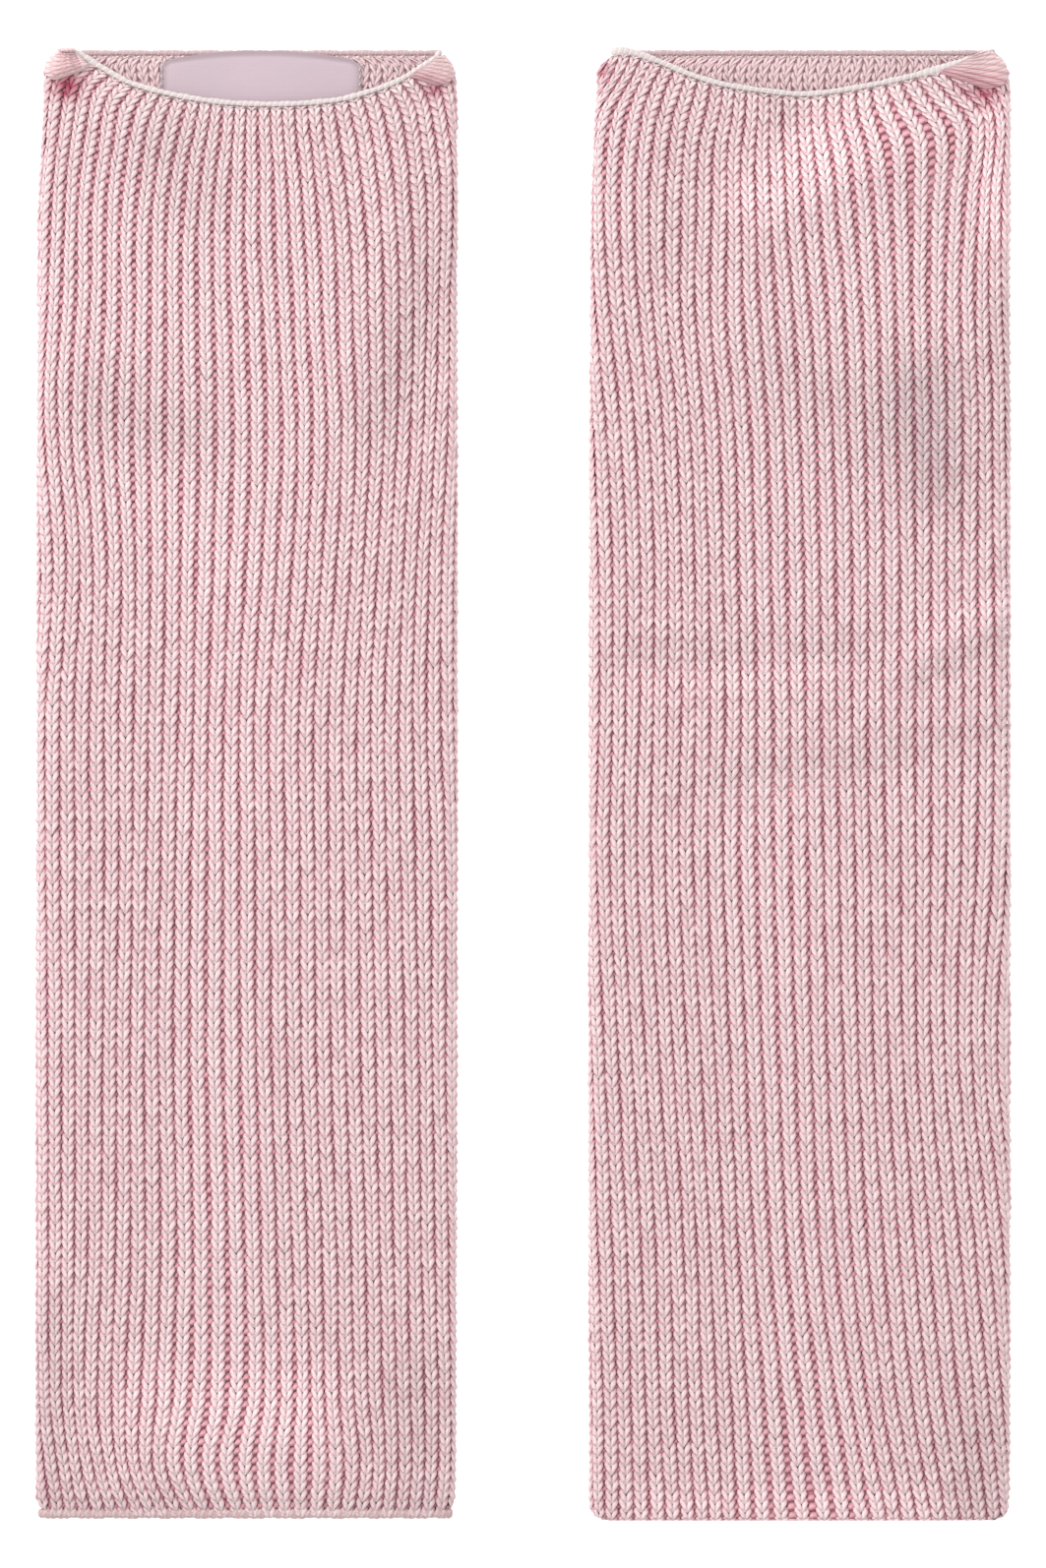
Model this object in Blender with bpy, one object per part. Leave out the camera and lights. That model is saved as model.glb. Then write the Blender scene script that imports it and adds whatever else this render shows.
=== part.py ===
"""A pair of rib-knitted leg warmers, lying flat side by side.

Each leg is one knitted tube pressed flat: a cloth wall over a plain inside, with upright ribs
raised in its outer face and its underside flat on z = 0. The front layer's mouth hangs lower
than the back layer's, so the back's inner face and the label show above it.
+X is to the right, +Y runs from the hems to the mouths and +Z is up, and the origin lies on the
ground under the middle of the pair.
Sizes and tables are in millimetres, and meshes are made in metres.
"""

import bpy
import bmesh
from bisect import bisect_right
from collections import namedtuple
from math import cos, exp, floor, hypot, pi, sin, sqrt
from mathutils import Vector

MM = 0.001

# ---- the whole pair
COLLECTION = "leg_warmers"
LENGTH = 299.0                # hem to mouth, over the edges
LEG_SPACING = 112.5           # between the middles of the two legs

# ---- the cloth, the same in both legs
RIBS = 60                     # round the whole tube
WALL = 2.3                    # thickness at a rib's crest
GROOVE_DEPTH = 0.9            # from a rib's crest down to the groove beside it
CREST_SIDES = (0.27, 0.73)    # where a rib's flat crest starts and ends, as parts of its pitch
INSIDE_GAP = 1.2              # between the two layers
LEAST_GAP = 0.35              # where a hollow presses the layers together
SEAM_GAP = 0.3                # between one piece and the next
FLATTENED_FROM = -0.6         # ribs fade out where the cloth's normal points this far down

# ---- mouth and hem
MOUTH_FALL = 160.0            # the length over which the front's lowered mouth pulls its courses down
MOUTH_CORNER = 4.5            # corner radii, seen from above
HEM_CORNER = 2.6
CORNER_CUT = 0.35             # the edge takes this much off the mouth corner's arc
MOUTH_EDGE = 1.2              # diameter of the bound-off chain
HEM_EDGE_WIDTH = 1.7          # the cast-on band, along the leg
HEM_EDGE_THICKNESS = 1.3

# ---- the label, inside the left mouth
LABEL_WIDTH = 41.0
LABEL_HEIGHT = 17.0
LABEL_THICKNESS = 0.4
LABEL_CORNER = 2.4
LABEL_MIDDLE = 2.9            # from the left leg's middle
LABEL_TOP = 298.8
LABEL_ARCH = 2.2              # how far its top edge rises in the middle

# ---- how finely the solids are cut
FIRST_RIB, LAST_RIB = -3, 31  # the ribs that show from above, and those just round the sides
LEAST_ROW = 0.5               # the first row of faces is at least this long
UNDERSIDE_COLUMNS = 8
INSIDE_FLAT_COLUMNS = 16
INSIDE_SIDE_COLUMNS = 3
EDGE_STATIONS = 88
EDGE_SIDES = 6
LABEL_COLUMNS, LABEL_ROWS = 10, 2
LABEL_CORNER_STEPS = 4

# Where grooves 0, 5, 10 ... 29 lie at a height above the hem. A place is measured along the
# cloth from the leg's middle, positive to the right, so past 44 it is round the side.
RibRow = namedtuple("RibRow", "height groove0 groove5 groove10 groove15 groove20 groove25 groove29")
RIB_MARKS = (0, 5, 10, 15, 20, 25, 29)

# The outline seen from above, before its corners are rounded.
SideRow = namedtuple("SideRow", "height left right")

# How far the front layer's mouth hangs below the back's, across the leg.
MouthPoint = namedtuple("MouthPoint", "x drop")

# A soft ridge or trough in the front layer, from one end to the other.
Fold = namedtuple("Fold", "x1 y1 x2 y2 width rise")

Leg = namedtuple("Leg", "name middle heights ribs sides mouth folds hem_band")

LEFT = Leg(
    name="left",
    middle=-LEG_SPACING / 2,
    heights=(1.0, 4.0, 10.0, 17.0, 26.0, 38.0, 62.0, 90.0, 114.0, 136.0, 158.0, 176.0, 194.0,
             210.0, 222.0, 233.0, 243.0, 254.0, 266.0, 276.0, 284.0, 290.0, 294.0, 296.4),
    ribs=(
        RibRow(0, -39.6, -25.6, -12.4, 3.2, 18.8, 32.8, 43.6),
        RibRow(11, -41.2, -28.8, -16.2, 1.6, 20.0, 33.6, 44.6),
        RibRow(25, -42.6, -30.2, -15.0, 3.4, 19.0, 33.4, 44.6),
        RibRow(55, -43.0, -29.4, -14.2, 3.0, 18.4, 32.8, 44.0),
        RibRow(95, -43.2, -29.2, -14.8, 2.0, 17.2, 32.2, 43.4),
        RibRow(135, -43.8, -28.8, -14.4, 1.8, 16.8, 31.4, 43.4),
        RibRow(165, -43.8, -28.9, -13.8, 1.6, 16.7, 31.0, 42.4),
        RibRow(195, -42.2, -28.3, -13.4, 3.0, 18.2, 32.0, 42.6),
        RibRow(225, -44.2, -29.7, -13.1, 4.0, 19.4, 33.4, 43.8),
        RibRow(250, -43.2, -28.8, -13.2, 3.4, 18.6, 34.0, 44.2),
        RibRow(270, -42.2, -28.6, -13.2, 2.6, 18.0, 33.6, 45.2),
        RibRow(285, -40.6, -27.0, -12.0, 2.6, 16.6, 32.4, 43.6),
        RibRow(293, -39.0, -25.6, -10.4, 2.4, 15.6, 31.0, 41.6),
        RibRow(299, -34.5, -22.0, -9.4, 2.4, 15.0, 28.4, 37.6),
    ),
    sides=(
        SideRow(0, -43.4, 42.9), SideRow(25, -43.4, 43.1), SideRow(60, -43.4, 43.3),
        SideRow(140, -43.3, 43.4), SideRow(263, -43.0, 43.4), SideRow(275, -42.4, 43.4),
        SideRow(287, -41.9, 43.4), SideRow(299, -41.8, 43.0),
    ),
    mouth=(
        MouthPoint(-38.0, 0.0), MouthPoint(-34.0, 0.8), MouthPoint(-30.0, 2.9),
        MouthPoint(-23.0, 6.6), MouthPoint(-9.4, 9.8), MouthPoint(4.2, 10.8),
        MouthPoint(17.8, 10.0), MouthPoint(25.0, 8.2), MouthPoint(31.2, 5.8),
        MouthPoint(38.0, 1.7), MouthPoint(41.0, 0.0),
    ),
    folds=(
        Fold(30.0, 273.0, 23.0, 235.0, 7.0, 0.9),      # swelling beside the slanting crease
        Fold(40.0, 252.0, 28.0, 224.0, 5.0, -0.9),     # the slanting crease on the right
        Fold(-30.0, 232.0, 25.0, 232.0, 3.0, -0.3),    # faint fold line across
        Fold(-14.0, 273.0, -12.0, 270.0, 9.0, -0.5),
        Fold(-23.0, 226.0, -22.0, 220.0, 8.0, -0.5),
        Fold(30.0, 195.0, 30.0, 174.0, 5.0, 0.6),
        Fold(30.0, 129.0, 29.0, 99.0, 5.0, 0.6),
        Fold(-17.0, 26.0, -16.0, 22.0, 7.0, 0.7),      # two puffs above the hem
        Fold(2.0, 21.0, 11.0, 20.0, 9.0, 0.9),
        Fold(36.0, 26.0, 37.0, 20.0, 8.0, -0.7),
        Fold(-40.0, 2.0, 40.0, 2.0, 4.0, -0.6),        # the front thins out to the hem
        Fold(-36.0, 290.4, -34.6, 291.4, 2.2, -1.2),   # corner tucks, and the flaps above them
        Fold(-40.5, 293.0, -35.0, 296.4, 2.0, 0.7),
        Fold(38.6, 290.0, 37.4, 291.4, 2.4, -1.2),
        Fold(33.0, 292.6, 40.5, 294.6, 2.0, 0.7),
        Fold(-18.0, 286.0, 24.0, 286.0, 7.0, 0.6),     # the mouth stands a little open
    ),
    hem_band=True,
)

RIGHT = Leg(
    name="right",
    middle=LEG_SPACING / 2,
    heights=(0.0, 1.2, 4.0, 12.0, 26.0, 48.0, 78.0, 108.0, 130.0, 144.0, 151.0, 157.0, 164.0,
             172.0, 177.0, 182.0, 189.0, 202.0, 218.0, 234.0, 248.0, 260.0, 270.0, 278.0, 285.0,
             290.0, 294.0, 296.4),
    ribs=(
        RibRow(0, -39.6, -24.2, -9.4, 10.8, 26.8, 41.0, 53.4),
        RibRow(25, -40.0, -25.6, -10.8, 7.2, 22.8, 38.4, 49.4),
        RibRow(55, -41.0, -26.4, -12.5, 4.0, 20.2, 35.6, 47.2),
        RibRow(95, -42.6, -28.6, -14.2, 2.4, 18.0, 32.2, 43.0),
        RibRow(135, -44.2, -30.2, -15.6, 1.6, 17.4, 32.8, 45.2),
        RibRow(165, -43.6, -29.8, -15.2, 1.2, 17.0, 33.2, 45.6),
        RibRow(195, -43.8, -29.6, -15.6, 0.8, 17.1, 33.0, 45.4),
        RibRow(225, -45.4, -30.8, -16.4, 0.1, 16.6, 33.2, 44.8),
        RibRow(250, -47.8, -33.0, -18.2, -1.2, 16.0, 32.6, 43.8),
        RibRow(270, -48.6, -33.6, -17.9, -2.6, 15.0, 33.4, 43.6),
        RibRow(285, -47.2, -32.2, -17.6, -3.2, 13.6, 34.4, 44.0),
        RibRow(293, -41.2, -30.0, -16.2, -3.4, 11.8, 29.8, 41.0),
        RibRow(299, -38.6, -27.4, -15.6, -3.4, 11.4, 25.4, 34.6),
    ),
    sides=(
        SideRow(0, -43.2, 43.2), SideRow(40, -43.4, 43.4), SideRow(150, -43.4, 43.4),
        SideRow(263, -43.0, 43.4), SideRow(275, -42.6, 43.4), SideRow(287, -42.0, 43.4),
        SideRow(299, -41.6, 43.0),
    ),
    mouth=(
        MouthPoint(-40.0, 0.0), MouthPoint(-34.5, 0.1), MouthPoint(-28.0, 2.3),
        MouthPoint(-22.0, 4.8), MouthPoint(-14.6, 6.9), MouthPoint(-1.2, 8.6),
        MouthPoint(5.4, 8.3), MouthPoint(18.8, 5.9), MouthPoint(32.2, 2.5),
        MouthPoint(37.5, 0.6), MouthPoint(41.0, 0.0),
    ),
    folds=(
        Fold(-3.2, 285.6, -2.0, 284.6, 3.2, -1.2),     # dimple under the mouth
        Fold(-6.0, 271.0, 29.0, 285.0, 5.0, 1.3),      # ridge to the right corner
        Fold(-12.0, 262.0, -12.8, 249.0, 5.0, 0.8),    # and its arm down the leg
        Fold(0.0, 222.0, 22.0, 222.0, 14.0, -0.7),     # wide hollow under them
        Fold(27.0, 232.0, 28.0, 220.0, 7.0, -0.6),
        Fold(22.0, 177.0, 43.0, 187.5, 2.6, 0.8),      # short crease at the right side
        Fold(26.0, 173.4, 43.0, 181.5, 2.4, -0.7),
        Fold(-18.0, 150.0, 43.0, 162.0, 3.2, -0.6),    # long crease across
        Fold(-12.0, 144.6, 43.0, 155.4, 3.6, 0.5),
        Fold(-30.0, 171.0, -10.0, 171.0, 3.0, 0.3),
        Fold(35.0, 139.0, 35.0, 109.0, 5.0, 0.4),
        Fold(35.0, 10.0, 38.0, 4.0, 8.0, -0.8),
        Fold(-40.0, 1.0, 40.0, 1.0, 3.0, -0.4),
        Fold(38.6, 289.6, 36.4, 291.2, 2.2, -1.2),     # corner tuck, and the flap above it
        Fold(31.0, 293.0, 41.0, 294.8, 2.2, 0.9),
        Fold(-14.0, 288.0, 20.0, 288.0, 7.0, 0.5),     # the mouth stands a little open
    ),
    hem_band=False,
)

# ---- finishes: colour, roughness
YARN_PINK = ((0.78, 0.50, 0.53), 0.92)
EDGE_WHITE = ((0.86, 0.80, 0.79), 0.88)
LABEL_SATIN = ((0.70, 0.58, 0.66), 0.55)

MOUTH_TOP = LENGTH - MOUTH_EDGE - SEAM_GAP            # where the wall ends under the chain
HEM_BOTTOM = HEM_EDGE_WIDTH + SEAM_GAP                # where the wall ends over a hem band
SIDE_REACH = INSIDE_GAP / 2 + WALL                    # from a side turn's middle to the outline
TURN = INSIDE_GAP / 2 + 0.75 * WALL                   # radius at which places are measured
GROUND_TO_MIDDLE = WALL + INSIDE_GAP / 2


def smooth_step(t):
    t = min(max(t, 0.0), 1.0)
    return t * t * (3 - 2 * t)


def curve_through(marks, values, at):
    """A smooth curve through (mark, value) pairs, read at one place."""
    at = min(max(at, marks[0]), marks[-1])
    k = min(max(bisect_right(marks, at) - 1, 0), len(marks) - 2)

    def slope(i):
        lower, upper = max(i - 1, 0), min(i + 1, len(marks) - 1)
        return (values[upper] - values[lower]) / (marks[upper] - marks[lower])

    span = marks[k + 1] - marks[k]
    t = (at - marks[k]) / span
    return ((2 * t ** 3 - 3 * t ** 2 + 1) * values[k] + (t ** 3 - 2 * t ** 2 + t) * span * slope(k)
            + (3 * t ** 2 - 2 * t ** 3) * values[k + 1] + (t ** 3 - t ** 2) * span * slope(k + 1))


def column(rows, name, at):
    """One named column of a table of rows, read at a height."""
    return curve_through([row.height for row in rows], [getattr(row, name) for row in rows], at)


def corner_inset(from_end, radius):
    """How far a rounded corner draws the outline in, at a distance from the end."""
    if from_end >= radius:
        return 0.0
    return radius - sqrt(radius ** 2 - (radius - max(from_end, 0.0)) ** 2)


def relief(leg, x, y):
    """How far the front layer's folds lift it at a place seen from above."""
    lift = 0.0
    for fold in leg.folds:
        along_x, along_y = fold.x2 - fold.x1, fold.y2 - fold.y1
        along = ((x - fold.x1) * along_x + (y - fold.y1) * along_y) / (along_x ** 2 + along_y ** 2)
        along = min(max(along, 0.0), 1.0)
        away = hypot(x - fold.x1 - along * along_x, y - fold.y1 - along * along_y)
        lift += fold.rise * exp(-(away / fold.width) ** 2)
    return lift


class Section:
    """The flattened tube cut across at one height: a straight front, two side turns and a back.

    A place on it is a length along the cloth, from the leg's middle on the front layer and
    growing to the right. It is measured on a loop inside the wall, so it grows evenly.
    """

    def __init__(self, leg, height):
        self.leg = leg
        self.height = height
        inset = corner_inset(height - HEM_EDGE_WIDTH * leg.hem_band, HEM_CORNER)
        inset += corner_inset(MOUTH_TOP + CORNER_CUT - height, MOUTH_CORNER)
        self.left = column(leg.sides, "left", height) + inset + SIDE_REACH
        self.right = column(leg.sides, "right", height) - inset - SIDE_REACH
        self.flat = self.right - self.left
        self.round = 2 * self.flat + 2 * pi * TURN
        front = [column(leg.ribs, f"groove{mark}", height) for mark in RIB_MARKS]
        back_ribs = RIBS - RIB_MARKS[-1]
        back_pitch = (front[0] + self.round - front[-1]) / back_ribs
        self.marks = [RIB_MARKS[-1] - RIBS] + list(RIB_MARKS) + [RIBS]
        self.places = [front[-1] - self.round] + front + [front[0] + self.round]
        self.back_pitch = back_pitch

    def rib(self, number):
        """The place of a groove, or of any part of a rib's pitch."""
        turns = floor(number / RIBS)
        number -= turns * RIBS
        if number > RIB_MARKS[-1]:
            place = self.places[-2] + (number - RIB_MARKS[-1]) * self.back_pitch
        else:
            place = curve_through(self.marks, self.places, number)
        return place + turns * self.round

    def frame(self, place):
        """The middle line's point and the outward normal there, seen along the leg."""
        start = self.left - pi * TURN - self.flat / 2
        place = start + (place - start) % self.round
        if place < self.left - pi * TURN:
            return self.left + (self.left - pi * TURN - place), 0.0, -1.0
        if place < self.left:
            angle = (self.left - place) / TURN
            return self.left, -sin(angle), cos(angle)
        if place <= self.right:
            return place, 0.0, 1.0
        if place <= self.right + pi * TURN:
            angle = (place - self.right) / TURN
            return self.right, sin(angle), cos(angle)
        return self.right - (place - self.right - pi * TURN), 0.0, -1.0

    def point(self, place, out):
        """A point at a thickness outside the inner face, in the leg's own frame."""
        middle_x, side, up = self.frame(place)
        reach = INSIDE_GAP / 2 + out
        x = middle_x + side * reach
        on_front = smooth_step(up)
        mouth = curve_through([p.x for p in self.leg.mouth], [p.drop for p in self.leg.mouth],
                              middle_x + side * TURN)
        fall = smooth_step((self.height - MOUTH_TOP + MOUTH_FALL) / MOUTH_FALL)
        y = self.height - on_front * mouth * fall
        lift = smooth_step((up + 1) / 2) * relief(self.leg, x, y)
        if out < WALL / 2:
            lift = max(lift, LEAST_GAP - INSIDE_GAP)
        return Vector((x, y, GROUND_TO_MIDDLE + up * reach + lift))

    def outer(self, number, crest):
        """A point of the outer face on a rib's crest, or in the groove beside it."""
        place = self.rib(number)
        up = self.frame(place)[2]
        ribbed = 0.0 if crest else smooth_step((up - FLATTENED_FROM) / -FLATTENED_FROM)
        return self.point(place, WALL - GROOVE_DEPTH * ribbed)


def outside_columns():
    """Rib numbers round the outer face, with whether each lies on a crest."""
    columns = []
    for rib in range(FIRST_RIB, LAST_RIB):
        columns.append((rib, False))
        columns.extend((rib + side, True) for side in CREST_SIDES)
    columns.append((LAST_RIB, False))
    underside = FIRST_RIB + RIBS - LAST_RIB
    columns.extend((LAST_RIB + underside * k / (UNDERSIDE_COLUMNS + 1), True)
                   for k in range(1, UNDERSIDE_COLUMNS + 1))
    return columns


def inside_places(section):
    """Places round the plain inner face."""
    turn = pi * TURN
    front = [section.left + section.flat * k / INSIDE_FLAT_COLUMNS
             for k in range(INSIDE_FLAT_COLUMNS + 1)]
    side = [section.right + turn * k / INSIDE_SIDE_COLUMNS for k in range(1, INSIDE_SIDE_COLUMNS)]
    back = [place + section.flat + turn for place in front]
    other = [place + section.flat + turn for place in side]
    return front + side + back + other


def wrapped_grid(bm, rings):
    """A tube through rings of equal length, made from a grid whose ends are joined."""
    count = len(rings[0])
    made = bmesh.ops.create_grid(bm, x_segments=count, y_segments=len(rings) - 1, size=1.0)
    verts = made["verts"]
    spots = []
    for k, vert in enumerate(verts):
        row, col = divmod(k, count + 1)
        vert.co = rings[row][col % count] * MM
        spots.append((row, col))
    seam = {verts[k]: verts[k - count] for k, (row, col) in enumerate(spots) if col == count}
    bmesh.ops.weld_verts(bm, targetmap=seam)
    loops = {}
    for row in (0, len(rings) - 1):
        loops[row] = [vert for vert, spot in zip(verts, spots) if spot[0] == row and spot[1] < count]
    return loops[0], loops[len(rings) - 1]


def join_rims(bm, outer, outer_places, inner, inner_places, whole):
    """The rim between two rings with unlike numbers of points, in order of their places."""
    def ordered(ring, places):
        pairs = sorted(((place % whole, k) for k, place in enumerate(places)))
        return [(place, ring[k]) for place, k in pairs]

    outer, inner = ordered(outer, outer_places), ordered(inner, inner_places)
    outer.append((outer[0][0] + whole, outer[0][1]))
    inner.append((inner[0][0] + whole, inner[0][1]))
    i = j = 0
    while i < len(outer) - 1 or j < len(inner) - 1:
        step_outer = j == len(inner) - 1 or (i < len(outer) - 1 and outer[i + 1][0] <= inner[j + 1][0])
        if step_outer:
            bm.faces.new((outer[i][1], outer[i + 1][1], inner[j][1]))
            i += 1
        else:
            bm.faces.new((outer[i][1], inner[j + 1][1], inner[j][1]))
            j += 1


def finish(bm, name, finish_of, leg, smooth=True):
    """Put a closed mesh in the pair's frame, faced outwards, as a named piece of its own."""
    bmesh.ops.translate(bm, verts=bm.verts[:], vec=(leg.middle * MM, -LENGTH / 2 * MM, 0))
    bmesh.ops.recalc_face_normals(bm, faces=bm.faces[:])
    if bm.calc_volume(signed=True) < 0:
        bmesh.ops.reverse_faces(bm, faces=bm.faces[:])
    mesh = bpy.data.meshes.new(name)
    bm.to_mesh(mesh)
    bm.free()
    if smooth:
        mesh.shade_smooth()
    color, roughness = finish_of
    material = bpy.data.materials.new(name)
    material.use_nodes = True
    shader = material.node_tree.nodes["Principled BSDF"]
    shader.inputs["Base Color"].default_value = (*color, 1.0)
    shader.inputs["Roughness"].default_value = roughness
    mesh.materials.append(material)
    piece = bpy.data.objects.new(name, mesh)
    bpy.data.collections[COLLECTION].objects.link(piece)


def make_leg(leg):
    """One knitted tube: a ribbed outer face, a plain inner face and the two rims between them."""
    start = HEM_BOTTOM if leg.hem_band else 0.0
    heights = [start] + [h for h in leg.heights if h > start + LEAST_ROW] + [MOUTH_TOP]
    sections = [Section(leg, height) for height in heights]
    columns = outside_columns()
    bm = bmesh.new()
    outer = wrapped_grid(bm, [[s.outer(*c) for c in columns] for s in sections])
    inner = wrapped_grid(bm, [[s.point(p, 0.0) for p in inside_places(s)] for s in sections])
    for k, section in ((0, sections[0]), (1, sections[-1])):
        join_rims(bm, outer[k], [section.rib(number) for number, crest in columns],
                  inner[k], inside_places(section), section.round)
    finish(bm, f"{leg.name}_leg", YARN_PINK, leg)


def make_edge(leg, name, height, away, width, thickness, finish_of):
    """A closed cord that follows a rim of the tube, just past its end.

    away is 1 past the mouth and -1 past the hem; width runs along the leg.
    """
    section = Section(leg, height)
    places = [section.left + section.round * k / EDGE_STATIONS for k in range(EDGE_STATIONS)]
    middles = [section.point(place, WALL / 2) for place in places]
    bm = bmesh.new()
    rings = []
    for k, middle in enumerate(middles):
        tangent = (middles[(k + 1) % EDGE_STATIONS] - middles[k - 1]).normalized()
        along = Vector((0, away, 0))
        along = (along - tangent * along.dot(tangent)).normalized()
        across = tangent.cross(along)
        middle = middle + along * (SEAM_GAP + width / 2)
        angles = (2 * pi * side / EDGE_SIDES for side in range(EDGE_SIDES))
        rings.append([middle + along * (cos(a) * width / 2) + across * (sin(a) * thickness / 2)
                      for a in angles])
    rings.append(rings[0])
    first, last = wrapped_grid(bm, rings)
    bmesh.ops.weld_verts(bm, targetmap=dict(zip(last, first)))
    finish(bm, name, finish_of, leg)


def make_label(leg):
    """A thin woven label with rounded corners, lying on the back layer's inner face."""
    bm = bmesh.new()
    bmesh.ops.create_grid(bm, x_segments=LABEL_COLUMNS, y_segments=LABEL_ROWS, size=1.0)
    corners = [vert for vert in bm.verts if len(vert.link_edges) == 2]
    for vert in bm.verts:
        vert.co = Vector((vert.co.x * LABEL_WIDTH / 2, vert.co.y * LABEL_HEIGHT / 2, 0)) * MM
    bmesh.ops.bevel(bm, geom=corners, offset=LABEL_CORNER * MM,
                    segments=LABEL_CORNER_STEPS, profile=0.5, affect="VERTICES", material=-1)
    for vert in bm.verts:
        across = vert.co.x / (LABEL_WIDTH / 2 * MM)
        up = vert.co.y / (LABEL_HEIGHT / 2 * MM)
        if up > 0:
            vert.co.y -= LABEL_ARCH * MM * across ** 2 * up
        vert.co += Vector((LABEL_MIDDLE, LABEL_TOP - LABEL_HEIGHT / 2, WALL + SEAM_GAP)) * MM
    faces = bmesh.ops.extrude_face_region(bm, geom=bm.faces[:])["geom"]
    raised = [item for item in faces if isinstance(item, bmesh.types.BMVert)]
    bmesh.ops.translate(bm, verts=raised, vec=(0, 0, LABEL_THICKNESS * MM))
    finish(bm, "label", LABEL_SATIN, leg, smooth=False)


def build():
    for thing in list(bpy.data.objects):
        bpy.data.objects.remove(thing)
    collection = bpy.data.collections.new(COLLECTION)
    bpy.context.scene.collection.children.link(collection)
    for leg in (LEFT, RIGHT):
        make_leg(leg)
        make_edge(leg, f"{leg.name}_mouth_edge", MOUTH_TOP, 1, MOUTH_EDGE, MOUTH_EDGE, EDGE_WHITE)
        if leg.hem_band:
            make_edge(leg, f"{leg.name}_hem_edge", HEM_BOTTOM, -1, HEM_EDGE_WIDTH,
                      HEM_EDGE_THICKNESS, YARN_PINK)
    make_label(LEFT)


build()
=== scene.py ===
from math import cos, pi, radians, sin

import bmesh
import bpy
import numpy as np
from mathutils import Matrix, Vector


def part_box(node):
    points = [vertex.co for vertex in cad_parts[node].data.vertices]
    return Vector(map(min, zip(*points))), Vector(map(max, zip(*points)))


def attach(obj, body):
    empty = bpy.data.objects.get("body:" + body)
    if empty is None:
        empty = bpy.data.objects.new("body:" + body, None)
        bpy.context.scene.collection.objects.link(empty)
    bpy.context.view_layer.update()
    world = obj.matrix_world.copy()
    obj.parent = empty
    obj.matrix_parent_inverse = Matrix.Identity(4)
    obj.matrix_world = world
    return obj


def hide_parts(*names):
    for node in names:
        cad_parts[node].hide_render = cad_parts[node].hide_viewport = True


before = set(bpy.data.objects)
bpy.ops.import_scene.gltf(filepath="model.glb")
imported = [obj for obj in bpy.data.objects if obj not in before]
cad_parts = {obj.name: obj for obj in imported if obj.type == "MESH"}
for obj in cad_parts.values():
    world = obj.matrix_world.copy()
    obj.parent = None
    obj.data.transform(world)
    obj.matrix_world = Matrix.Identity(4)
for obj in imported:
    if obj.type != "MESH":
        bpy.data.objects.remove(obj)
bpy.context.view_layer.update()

mm = 0.001                     # tables are in millimetres, finished meshes in metres
cell = 16.0                    # room that one stitch has in a flat swatch, before it is wrapped

# the knitted tube, as both legs are made
tube = {
    "length": 299.0,           # hem to mouth, over the edges
    "ribs": 60,                # round the whole tube
    "frontRibs": 29,           # of these, the ones between the two side turns
    "courses": 152,            # rows of stitches
    "courseBunch": -0.04,      # courses lie a little closer at both ends than in the middle
    "wall": 2.3,               # thickness at a rib's crest
    "placeShare": 0.75,        # how far up the wall places along the cloth are measured
    "gap": 1.2,                # between the two layers
    "leastGap": 0.35,          # where a hollow presses them together
    "mouthEdge": 1.2,          # height of the bound-off edge, and of the cast-on one
    "hemBand": 1.7,
    "seam": 0.3,               # between the knitting and those edges
    "mouthFall": 160.0,        # the length over which the lowered mouth pulls its courses down
    "mouthCorner": 4.5,        # corner radii, seen from above
    "hemCorner": 2.6,
    "cornerCut": 0.35,         # the arc at the mouth is cut this far before its end
}

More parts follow.
